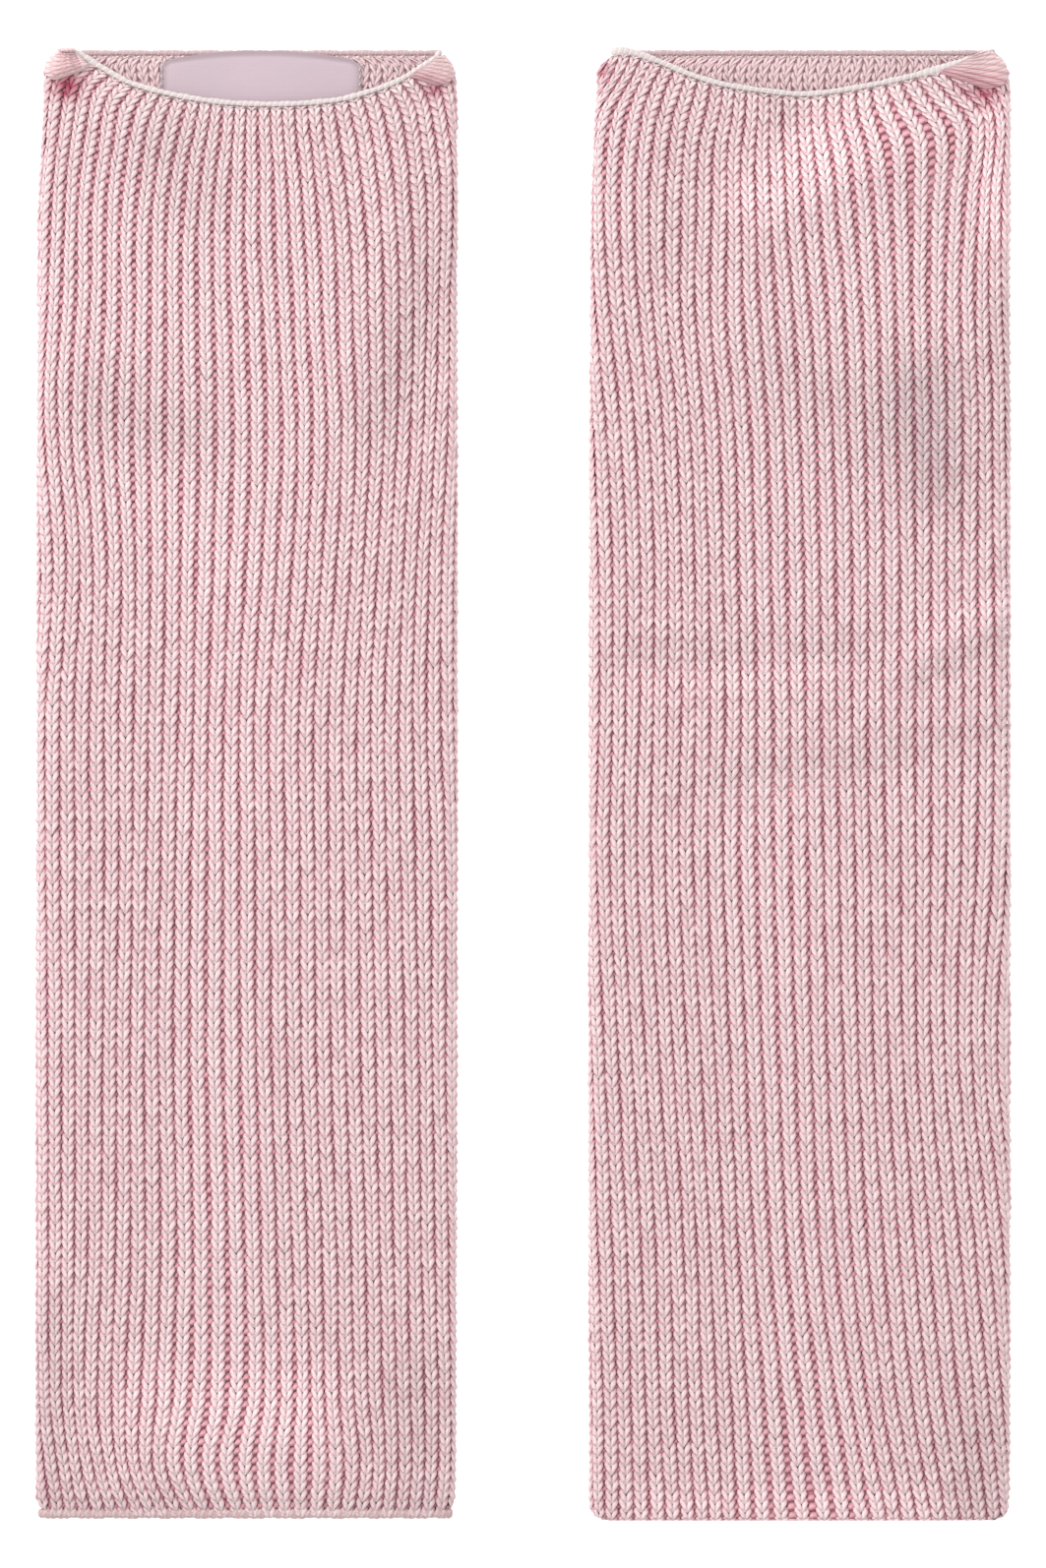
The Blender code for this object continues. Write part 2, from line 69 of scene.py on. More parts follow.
# Each leg in its own frame: x from its middle, heights from the hem.
# grooves: where grooves 0, 5, 10 ... lie along the cloth at each of ribHeights.
# leftSide, rightSide: the outline at sideHeights. mouthDrop: how far the front rim falls at mouthX.
# folds, the painted light and shade strokes, and turned: strokes from x, y to x, y, then a width and how far
# the cloth rises, how much paler painted light makes it (darker, below 0, for painted shade), or how far its
# ribs
# turn to one side. creased: courses that keep every row of the shell.
# loose: where the ribs stand apart, as x, y and half sizes. swells: rib, reach and size on the chain.
# tucks: x, y, reach and how much painted shade in a tuck's hollow deepens the yarn's colour. cornerFolds:
# from the rim to the edge, and how much painted shade deepens the lower side.
legs = {
    "left": {
        "middle": -56.25, "hemBand": True,
        "ribHeights": (0, 11, 25, 55, 95, 135, 165, 195, 225, 250, 270, 285, 293, 299),
        "grooves": {
            0: (-39.6, -41.2, -42.6, -43.0, -43.2, -43.8, -43.8, -42.2, -44.2, -43.2,
                -42.2, -40.6, -39.0, -34.5),
            5: (-25.6, -28.8, -30.2, -29.4, -29.2, -28.8, -28.9, -28.3, -29.7, -28.8,
                -28.6, -27.0, -25.6, -22.0),
            10: (-12.4, -16.2, -15.0, -14.2, -14.8, -14.4, -13.8, -13.4, -13.1, -13.2,
                 -13.2, -12.0, -10.4, -9.4),
            15: (3.2, 1.6, 3.4, 3.0, 2.0, 1.8, 1.6, 3.0, 4.0, 3.4, 2.6, 2.6, 2.4, 2.4),
            20: (18.8, 20.0, 19.0, 18.4, 17.2, 16.8, 16.7, 18.2, 19.4, 18.6, 18.0, 16.6, 15.6, 15.0),
            25: (32.8, 33.6, 33.4, 32.8, 32.2, 31.4, 31.0, 32.0, 33.4, 34.0, 33.6, 32.4, 31.0, 28.4),
            29: (43.6, 44.6, 44.6, 44.0, 43.4, 43.4, 42.4, 42.6, 43.8, 44.2, 45.2, 43.6, 41.6, 37.6),
        },
        "sideHeights": (0, 25, 60, 140, 263, 275, 287, 299),
        "leftSide": (-43.4, -43.4, -43.4, -43.3, -43.0, -42.4, -41.9, -41.8),
        "rightSide": (42.9, 43.1, 43.3, 43.4, 43.4, 43.4, 43.4, 43.0),
        "mouthX": (-38.0, -34.0, -30.0, -23.0, -9.4, 4.2, 17.8, 25.0, 31.2, 38.0, 41.0),
        "mouthDrop": (0.0, 0.8, 2.9, 6.6, 9.8, 10.8, 10.0, 8.2, 5.8, 1.7, 0.0),
        "folds": (
            (30.0, 273.0, 25.0, 235.0, 7.0, 1.2), (40.0, 252.0, 31.0, 220.0, 7.0, -1.2),
            (-30.0, 232.0, 22.0, 232.0, 4.0, -0.6), (-14.0, 274.0, -12.0, 268.0, 9.0, -0.9),
            (-24.0, 226.0, -20.0, 219.0, 9.0, -0.9), (29.0, 205.0, 30.0, 90.0, 7.0, 0.7),
            (-17.0, 22.0, -14.0, 18.0, 8.0, 1.1), (6.0, 18.0, 16.0, 17.0, 8.0, 1.3),
            (36.0, 28.0, 38.0, 16.0, 8.0, -1.3), (-38.0, 40.0, -39.0, 10.0, 7.0, -0.7),
            (-40.0, 1.0, 40.0, 1.0, 5.0, -1.1), (-36.0, 290.4, -34.6, 291.4, 2.6, -0.6),
            (38.6, 290.0, 37.4, 291.4, 2.8, -1.0), (-18.0, 286.0, 24.0, 286.0, 7.0, 0.8),
            (43.0, 20.0, 43.0, 215.0, 6.0, -1.0), (-43.0, 20.0, -43.0, 280.0, 3.5, -0.7),
        ),
        "creased": ((115, 121), (143, 148)),
        # painted light and shade over the folds: each stroke makes the yarn paler, and darker where it is
        # below 0
        "paintedLightShade": (
            (-16.0, 279.0, -10.0, 270.0, 10.0, -0.11), (41.0, 256.0, 27.0, 224.0, 6.5, -0.08),
            (-30.0, 226.0, -12.0, 222.0, 8.0, -0.12), (-3.0, 192.0, -3.0, 150.0, 13.0, 0.04),
            (-20.0, 23.0, 12.0, 22.0, 9.0, 0.10), (35.0, 26.0, 38.0, 6.0, 8.0, -0.08),
            (-41.5, 40.0, -41.5, 4.0, 6.0, -0.10), (-38.0, 2.0, 40.0, 2.0, 3.0, -0.08),
        ),
        "loose": ((-11.0, 243.0, 34.0, 58.0), (3.0, 20.0, 16.0, 22.0)),
        "turned": ((-24.0, 287.0, -34.0, 277.0, 7.0, 0.18), (-39.0, 289.0, -41.0, 262.0, 7.0, 0.22)),
        "swells": ((0.0, 1.6, 0.25), (59.2, 0.8, 0.2)),
        "tucks": ((-36.4, 291.2, 2.8, 0.85), (38.2, 290.6, 2.0, 0.55)),
        "cornerFolds": (
            {"rim": ((-34.8, 298.6), (-31.8, 295.4)),
             "edge": ((-36.6, 298.7), (-38.9, 297.7), (-40.3, 295.9), (-40.6, 293.8), (-39.0, 292.8)),
             "deep": 0.15},
            {"rim": ((38.9, 297.3), (33.2, 293.1)),
             "edge": ((40.4, 297.9), (41.9, 295.9), (42.3, 293.8), (41.2, 292.0), (38.6, 291.4)),
             "deep": 0.5},
        ),
    },
    "right": {
        "middle": 56.25, "hemBand": False,
        "ribHeights": (0, 25, 55, 95, 135, 165, 195, 225, 250, 270, 285, 293, 299),
        "grooves": {
            0: (-39.6, -40.0, -41.0, -42.6, -44.2, -43.6, -43.8, -45.4, -47.8, -48.6, -47.2, -41.2, -38.6),
            5: (-24.2, -25.6, -26.4, -28.6, -30.2, -29.8, -29.6, -30.8, -33.0, -33.6, -32.2, -30.0, -27.4),
            10: (-9.4, -10.8, -12.5, -14.2, -15.6, -15.2, -15.6, -16.4, -18.2, -17.9, -17.6, -16.2, -15.6),
            15: (10.8, 7.2, 4.0, 2.4, 1.6, 1.2, 0.8, 0.1, -1.2, -2.6, -3.2, -3.4, -3.4),
            20: (26.8, 22.8, 20.2, 18.0, 17.4, 17.0, 17.1, 16.6, 16.0, 15.0, 13.6, 11.8, 11.4),
            25: (41.0, 38.4, 35.6, 32.2, 32.8, 33.2, 33.0, 33.2, 32.6, 33.4, 34.4, 29.8, 25.4),
            29: (53.4, 49.4, 47.2, 43.0, 45.2, 45.6, 45.4, 44.8, 43.8, 43.6, 44.0, 41.0, 34.6),
        },
        "sideHeights": (0, 40, 150, 263, 275, 287, 299),
        "leftSide": (-43.2, -43.4, -43.4, -43.0, -42.6, -42.0, -41.6),
        "rightSide": (43.2, 43.4, 43.4, 43.4, 43.4, 43.4, 43.0),
        "mouthX": (-40.0, -34.5, -28.0, -22.0, -14.6, -1.2, 5.4, 18.8, 32.2, 37.5, 41.0),
        "mouthDrop": (0.0, 0.1, 2.3, 4.8, 6.9, 8.6, 8.3, 5.9, 2.5, 0.6, 0.0),
        "folds": (
            (-3.2, 285.6, -2.0, 284.6, 3.2, -1.2), (-6.0, 265.5, 31.0, 281.5, 6.0, 1.7),
            (2.0, 280.0, 26.0, 290.0, 5.0, -0.7), (-11.0, 260.0, -12.0, 238.0, 6.0, 0.9),
            (6.0, 220.0, 26.0, 214.0, 14.0, -1.0), (29.0, 226.0, 32.0, 206.0, 8.0, -0.6),
            (41.0, 285.0, 42.0, 262.0, 5.0, 0.9), (22.0, 174.0, 43.0, 184.6, 4.0, 1.5),
            (-38.0, 173.0, 14.0, 175.5, 4.0, -0.7), (-24.0, 145.0, 43.0, 157.0, 6.0, -0.8),
            (35.0, 137.0, 35.0, 90.0, 6.0, 0.6), (34.0, 24.0, 39.0, 6.0, 9.0, -1.4),
            (38.6, 289.6, 36.4, 291.2, 2.8, -1.0), (-16.0, 288.0, -8.0, 288.0, 7.0, 0.6),
            (43.0, 20.0, 43.0, 260.0, 5.0, -1.0), (-43.0, 10.0, -43.0, 280.0, 3.5, -0.3),
        ),
        "creased": ((70, 96), (132, 148)),
        # painted light and shade over the folds: each stroke makes the yarn paler, and darker where it is
        # below 0
        "paintedLightShade": (
            (-26.0, 276.0, -25.0, 262.0, 9.0, -0.05), (-3.2, 286.0, -2.6, 284.0, 4.0, -0.14),
            (-9.0, 269.0, 3.0, 276.0, 7.0, 0.15), (2.0, 283.0, 17.0, 287.0, 8.0, 0.13),
            (-2.0, 232.0, 14.0, 223.0, 10.0, -0.07), (25.0, 230.0, 28.0, 212.0, 8.0, -0.20),
            (39.0, 286.0, 40.0, 262.0, 4.0, 0.15), (41.0, 246.0, 42.0, 220.0, 4.0, -0.06),
            (26.0, 180.5, 41.0, 187.0, 3.0, 0.06), (24.0, 171.0, 41.0, 179.0, 3.0, -0.07),
            (-34.0, 169.5, 6.0, 171.5, 3.0, 0.06), (-34.0, 176.5, 10.0, 178.5, 3.0, -0.05),
            (-14.0, 151.0, 40.0, 160.0, 4.0, -0.06), (37.0, 18.0, 37.0, 4.0, 7.0, -0.10),
            (-30.0, 3.0, 24.0, 3.0, 4.0, 0.09),
        ),
        "loose": ((19.0, 264.0, 22.0, 34.0), (2.4, 16.0, 15.0, 22.0), (-38.0, 277.0, 9.0, 18.0)),
        "turned": ((-37.0, 290.0, -41.0, 274.0, 6.0, 0.22), (-28.0, 290.0, -31.0, 284.0, 5.0, 0.14)),
        "swells": ((0.6, 2.4, 0.3), (26.6, 2.0, 0.3)),
        "tucks": ((-40.2, 294.6, 2.0, 0.5), (37.6, 289.8, 2.8, 0.6), (33.0, 290.6, 1.8, 0.35)),
        "cornerFolds": (
            {"rim": ((35.0, 297.4), (28.2, 294.0)),
             "edge": ((36.9, 298.6), (39.6, 298.2), (41.6, 296.6), (42.2, 294.2), (41.6, 291.8),
                      (37.8, 290.6)),
             "deep": 0.55},
        ),
    },
}

mouthTop = tube["length"] - tube["mouthEdge"] - tube["seam"]        # where the knitting ends
sideReach = tube["gap"] / 2 + tube["wall"]                          # side turn's middle to outline
turnRadius = tube["gap"] / 2 + tube["placeShare"] * tube["wall"]    # radius that places are measured on
midHeight = tube["wall"] + tube["gap"] / 2                          # the slit between the layers


# the cloth's surface: from rib, place and height to a point

def smoothStep(t):
    t = np.clip(t, 0.0, 1.0)
    return t * t * (3 - 2 * t)


def curveThrough(marks, values, at):
    # a smooth curve through (mark, value) pairs; values may be one row, or a column for each point
    marks, values = np.asarray(marks, float), np.asarray(values, float)
    at = np.clip(at, marks[0], marks[-1])
    k = np.clip(np.searchsorted(marks, at, side="right") - 1, 0, len(marks) - 2)
    points = np.arange(len(at))

    def value(i):
        return values[i] if values.ndim == 1 else values[i, points]

    def slope(i):
        lower, upper = np.maximum(i - 1, 0), np.minimum(i + 1, len(marks) - 1)
        return (value(upper) - value(lower)) / (marks[upper] - marks[lower])

    span = marks[k + 1] - marks[k]
    t = (at - marks[k]) / span
    return ((2 * t ** 3 - 3 * t ** 2 + 1) * value(k) + (t ** 3 - 2 * t ** 2 + t) * span * slope(k)
            + (3 * t ** 2 - 2 * t ** 3) * value(k + 1) + (t ** 3 - t ** 2) * span * slope(k + 1))


def cornerInset(fromEnd, radius):
    reach = np.clip(radius - fromEnd, 0.0, radius)
    return radius - np.sqrt(radius ** 2 - reach ** 2)


def hemStart(leg):
    return tube["hemBand"] + tube["seam"] if leg["hemBand"] else 0.0


def sideLimits(leg, height):
    # where the front layer turns round into the back one
    within = np.clip(height, hemStart(leg), mouthTop)
    inset = cornerInset(within - tube["hemBand"] * leg["hemBand"], tube["hemCorner"])
    inset = inset + cornerInset(mouthTop + tube["cornerCut"] - within, tube["mouthCorner"])
    left = curveThrough(leg["sideHeights"], leg["leftSide"], height) + inset + sideReach
    right = curveThrough(leg["sideHeights"], leg["rightSide"], height) - inset - sideReach
    return left, right


def ribPlace(leg, rib, height):
    # how far along the cloth a rib number lies, from the leg's middle
    left, right = sideLimits(leg, height)
    whole = 2 * (right - left) + 2 * pi * turnRadius
    marks = sorted(leg["grooves"])
    front = [curveThrough(leg["ribHeights"], leg["grooves"][mark], height) for mark in marks]
    turns = np.floor(rib / tube["ribs"])
    number = rib - turns * tube["ribs"]
    last = marks[-1]
    backPitch = (front[0] + whole - front[-1]) / (tube["ribs"] - last)
    allMarks = [last - tube["ribs"]] + marks + [tube["ribs"]]
    places = np.array([front[-1] - whole] + front + [front[0] + whole])
    onFront = curveThrough(allMarks, places, number)
    return np.where(number > last, front[-1] + (number - last) * backPitch, onFront) + turns * whole


def sumStrokes(strokes, x, y):
    # soft strokes over the front layer, seen from above, each with a width and a strength
    total = np.zeros_like(x)
    for x1, y1, x2, y2, width, strength in strokes:
        alongX, alongY = x2 - x1, y2 - y1
        along = ((x - x1) * alongX + (y - y1) * alongY) / (alongX ** 2 + alongY ** 2)
        along = np.clip(along, 0.0, 1.0)
        away = (x - x1 - along * alongX) ** 2 + (y - y1 - along * alongY) ** 2
        total += strength * np.exp(-away / width ** 2)
    return total


def clothPoints(leg, rib, sideways, height, out):
    # points at a rib number plus a few mm sideways, at a height, and out from the inner face
    left, right = sideLimits(leg, height)
    flat = right - left
    turn = pi * turnRadius
    start = left - turn - flat / 2
    place = start + (ribPlace(leg, rib, height) + sideways - start) % (2 * flat + 2 * turn)
    onLeft, onRight = (left - place) / turnRadius, (place - right) / turnRadius
    backLeft, backRight = place < left - turn, place > right + turn
    angle = np.clip(onRight, 0.0, pi) - np.clip(onLeft, 0.0, pi)
    middleX = np.clip(place, left, right)
    middleX = np.where(backLeft, left + (left - turn - place), middleX)
    middleX = np.where(backRight, right - (place - right - turn), middleX)
    side, up = np.sin(angle), np.cos(angle)
    reach = tube["gap"] / 2 + out
    x = middleX + side * reach
    drop = curveThrough(leg["mouthX"], leg["mouthDrop"], middleX + side * turnRadius)
    fall = smoothStep((height - mouthTop + tube["mouthFall"]) / tube["mouthFall"])
    y = height - smoothStep(up) * drop * fall
    lift = sumStrokes(leg["folds"], x, y) * smoothStep((up + 1) / 2)
    lift = np.maximum(lift, tube["leastGap"] - tube["gap"] - np.maximum(out, 0.0))
    return np.column_stack((x, y, midHeight + up * reach + lift))


def courseHeight(leg, course):
    # where a course of stitches starts, above the hem
    t = course / tube["courses"]
    start = hemStart(leg)
    return start + (mouthTop - start) * (t + tube["courseBunch"] * np.sin(2 * pi * t) / (2 * pi))


def placeInWorld(leg, points):
    return (points + (leg["middle"], -tube["length"] / 2, 0.0)) * mm


# how wide a rib of V stitches is, and how wide the groove beside it
ribWidth = {
    "tightGap": -0.12,         # between two ribs where they lie close, and overlap a little
    "looseGap": 0.38,          # and where they stand apart
    "looseCore": 0.35,         # the inner share of a loose patch, by area, that is as loose as it gets
    "least": 1.05,             # half width of a rib
    "most": 1.58,
    "loosePaler": 0.35,        # how much less painted groove shade the yarn gets where ribs stand apart
    "sway": ((0.06, 9.0, 2.1), (0.05, 3.6, 4.4)),    # size, length and step of a rib's slight waves
    "mostTurn": 0.35,          # how far a rib may turn to one side, as a share of its half width
    "turnShade": 0.20,         # how much painted shade deepens its far side for each such share
    "shadeFrom": 0.5,          # that side starts this far short of the rib's middle
}


def ribSway(rib, height):
    waves = ribWidth["sway"]
    return sum(size * np.sin(height / length + step * np.floor(rib)) for size, length, step in waves)


def halfRib(leg, rib, height):
    pitch = ribPlace(leg, rib + 0.5, height) - ribPlace(leg, rib - 0.5, height)
    x = ribPlace(leg, rib, height)
    loose = np.zeros_like(x)
    for middleX, middleY, halfX, halfY in leg["loose"]:
        away = ((x - middleX) / halfX) ** 2 + ((height - middleY) / halfY) ** 2
        loose = np.maximum(loose, 1 - smoothStep(away - ribWidth["looseCore"]))
    gap = ribWidth["tightGap"] + (ribWidth["looseGap"] - ribWidth["tightGap"]) * loose
    return np.clip((pitch - gap) / 2, ribWidth["least"], ribWidth["most"]), pitch


# reading, writing and finishing meshes

def readPoints(mesh):
    points = np.empty(len(mesh.vertices) * 3, np.float32)
    mesh.vertices.foreach_get("co", points)
    return points.reshape(-1, 3).astype(float)


def writePoints(mesh, points):
    mesh.vertices.foreach_set("co", points.astype(np.float32).ravel())
    mesh.update()


def addAttribute(mesh, name, values):
    layer = mesh.attributes.new(name, "FLOAT", "POINT")
    layer.data.foreach_set("value", np.asarray(values, np.float32))


def readAttribute(mesh, name):
    values = np.empty(len(mesh.vertices), np.float32)
    mesh.attributes[name].data.foreach_get("value", values)
    return values


def meshFrom(bm, name):
    mesh = bpy.data.meshes.new(name)
    bm.to_mesh(mesh)
    bm.free()
    return mesh


def linkedObject(name, data):
    made = bpy.data.objects.new(name, data)
    bpy.context.scene.collection.objects.link(made)
    return made


def newPiece(name, bm, material, replaced=None):
    return finishPiece(linkedObject(name, meshFrom(bm, name)), material, replaced)


def finishPiece(piece, material, replaced=None):
    # a smooth piece with its material, which rides on the pair
    piece.data.shade_smooth()
    piece.data.materials.clear()
    piece.data.materials.append(material)
    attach(piece, "root")
    if replaced:
        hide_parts(replaced)
    return piece


def wrappedGrid(columns, rows, pointAt, unit=1):
    # a grid closed both ways; pointAt turns arrays of column and row numbers into points, in metres.
    # Its strand map counts units of columns along it, and two layers keep each point's numbers.
    bm = bmesh.new()
    strand = bm.loops.layers.uv.new("strand")
    columnLayer, rowLayer = bm.verts.layers.float.new("column"), bm.verts.layers.float.new("row")
    bmesh.ops.create_grid(bm, x_segments=columns, y_segments=rows, size=1.0)
    grid = np.array([vert.co for vert in bm.verts])
    column = np.rint((grid[:, 0] + 1) / 2 * columns).astype(int)
    row = np.rint((grid[:, 1] + 1) / 2 * rows).astype(int)
    bm.verts.index_update()
    for face in bm.faces:
        for loop in face.loops:
            k = loop.vert.index
            loop[strand].uv = (row[k] / rows, column[k] / unit)
    column, row = column % columns, row % rows
    for vert, point in zip(bm.verts, pointAt(column, row)):
        vert.co = point
        vert[columnLayer] = column[vert.index]
        vert[rowLayer] = row[vert.index]
    bmesh.ops.remove_doubles(bm, verts=bm.verts[:], dist=1e-8)
    bmesh.ops.recalc_face_normals(bm, faces=bm.faces[:])
    if bm.calc_volume(signed=True) < 0:
        bmesh.ops.reverse_faces(bm, faces=bm.faces[:])
    return bm


# one stitch, made flat: x across the rib, y along it, z out of the cloth

vStitch = {
    "armLength": 4.20,
    "armWidth": 1.46,
    "armThickness": 0.86,
    "fullness": 0.34,          # how much fuller than an oval it is towards its ends
    "lean": 28.5,              # degrees that an arm slants from the rib, before it is rolled
    "apart": 0.74,             # an arm's middle from the rib's middle
    "rise": 1.0,               # and from the course's start
    "lowDip": 0.95,            # the arm's lower end goes under the stitch below
    "highDip": 0.05,
    "roll": 1.34,              # radius of the rib that the arms roll round, and its half width
    "rollDepth": 0.66,         # this much of a round section, from crest to groove
    "mostShare": 0.97,         # of the way from the rib's middle to its side that an arm may reach
}

purlBead = {
    "width": 1.30,
    "height": 1.80,
    "thickness": 0.86,
    "arch": 0.60,              # the middle stands higher than the ends
    "slant": 0.45,             # one end stands this much higher than the other
    "depth": 0.83,             # the bead's top below the ribs' crests
    "rise": 0.9,
    "tuck": 1.4,               # how much wider than the groove it is, under the ribs
    "looseRise": 0.20,         # how much higher it lies where the ribs stand apart
}


def armMesh(name, sides, rings, look, both=True):
    # a tapered arm of yarn, and its mirrored twin
    bm = bmesh.new()
    uv = bm.loops.layers.uv.new("strand")
    bmesh.ops.create_uvsphere(bm, u_segments=sides, v_segments=rings, radius=0.5, calc_uvs=True)
    bmesh.ops.scale(bm, verts=bm.verts[:], vec=(look["armWidth"], look["armThickness"], look["armLength"]))
    bmesh.ops.rotate(bm, verts=bm.verts[:], matrix=Matrix.Rotation(radians(90), 3, "X"))
    for vert in bm.verts:
        t = vert.co.y / look["armLength"] * 2
        fuller = 1 + look["fullness"] * 4 * t ** 2 * (1 - t ** 2)
        vert.co.x *= fuller
        vert.co.z = vert.co.z * fuller - (look["highDip"] if t > 0 else look["lowDip"]) * t ** 2
    bmesh.ops.rotate(bm, verts=bm.verts[:], matrix=Matrix.Rotation(radians(-look["lean"]), 3, "Z"))
    shift = (look["apart"], look["rise"], -look["armThickness"] / 2)
    bmesh.ops.translate(bm, verts=bm.verts[:], vec=shift)
    if both:
        twin = bmesh.ops.duplicate(bm, geom=bm.verts[:] + bm.edges[:] + bm.faces[:])["geom"]
        twinVerts = [item for item in twin if isinstance(item, bmesh.types.BMVert)]
        twinFaces = [item for item in twin if isinstance(item, bmesh.types.BMFace)]
        bmesh.ops.scale(bm, verts=twinVerts, vec=(-1, 1, 1))
        bmesh.ops.reverse_faces(bm, faces=twinFaces)
        for face in twinFaces:
            for loop in face.loops:
                loop[uv].uv.x = 1 - loop[uv].uv.x          # the yarn's twist has one hand
    for vert in bm.verts:
        reach = look["roll"] + vert.co.z
        angle = vert.co.x / (look["roll"] - look["armThickness"] / 2)
        vert.co.x = reach * sin(angle)
        vert.co.z = (reach * cos(angle) - look["roll"]) * look["rollDepth"]
    return meshFrom(bm, name)


def beadMesh(name, look):
    # the bump of a purl stitch, lying across the groove
    bm = bmesh.new()
    bm.loops.layers.uv.new("strand")
    bmesh.ops.create_uvsphere(bm, u_segments=4, v_segments=3, radius=0.5, calc_uvs=True)
    bmesh.ops.scale(bm, verts=bm.verts[:], vec=(look["height"], look["thickness"], look["width"]))
    bmesh.ops.rotate(bm, verts=bm.verts[:], matrix=Matrix.Rotation(radians(90), 3, "Y"))
    bmesh.ops.rotate(bm, verts=bm.verts[:], matrix=Matrix.Rotation(radians(90), 3, "X"))
    for vert in bm.verts:
        t = vert.co.x / look["width"] * 2
        vert.co.y += look["slant"] / 2 * t - look["arch"] * t ** 2
    shift = (0, look["rise"], -look["depth"] - look["thickness"] / 2)
    bmesh.ops.translate(bm, verts=bm.verts[:], vec=shift)
    return meshFrom(bm, name)


def flatSwatch(name, stitchMesh, ribs, courses):
    # the stitch repeated over a flat field, one cell for each rib and course
    piece = linkedObject(name, stitchMesh)
    for count, step in ((ribs, (cell, 0, 0)), (courses, (0, cell, 0))):
        repeat = piece.modifiers.new("repeat", "ARRAY")
        repeat.use_relative_offset = False
        repeat.use_constant_offset = True
        repeat.constant_offset_displace = step
        repeat.count = count
    shown = bpy.context.evaluated_depsgraph_get()
    repeated = bpy.data.meshes.new_from_object(piece.evaluated_get(shown), depsgraph=shown)
    piece.modifiers.clear()
    piece.data = repeated
    return piece


# stitches past the first and the last course are squeezed up against the edges
edgeSqueeze = {"start": 0.6, "reach": 0.9, "overBand": 1.6}


def squeezeToEdges(leg, height):
    start, reach = edgeSqueeze["start"], edgeSqueeze["reach"]
    over = np.maximum(height - (mouthTop - start), 0)
    lowest = hemStart(leg) - edgeSqueeze["overBand"] * leg["hemBand"]
    under = np.maximum(lowest + start - height, 0)
    return height - over + reach * (1 - np.exp(-over / reach)) + under - reach * (1 - np.exp(-under / reach))


uneven = {
    "sideways": 0.06,          # how far a stitch strays from its place, in mm
    "along": 0.11,
    "out": 0.12,
    "width": 0.06,             # as a share
}
toneAndShadeSpread = 0.05              # how much paler the palest stitch's yarn is than the deepest one's; the painted light and shade ride on the same value
fullDepth = 1.6                # mm below the ribs' crests where the painted shade of the yarn's colour is at its deepest
edgeFade = 3.0                 # mm below the mouth's edge over which the yarn's edge colour fades

insideKnit = {
    "courses": 10,             # rows of the back layer's inner face that the lowered mouth may show
    "proud": 0.28,             # how far they stand out of that face
    "flatter": 0.38,           # their relief, as a share of the outer stitches'
    "ribs": 37,
    "from": 30.2, "step": 0.79,    # in rib numbers
    "overlap": 1.12,           # each is this share of its step wide
}


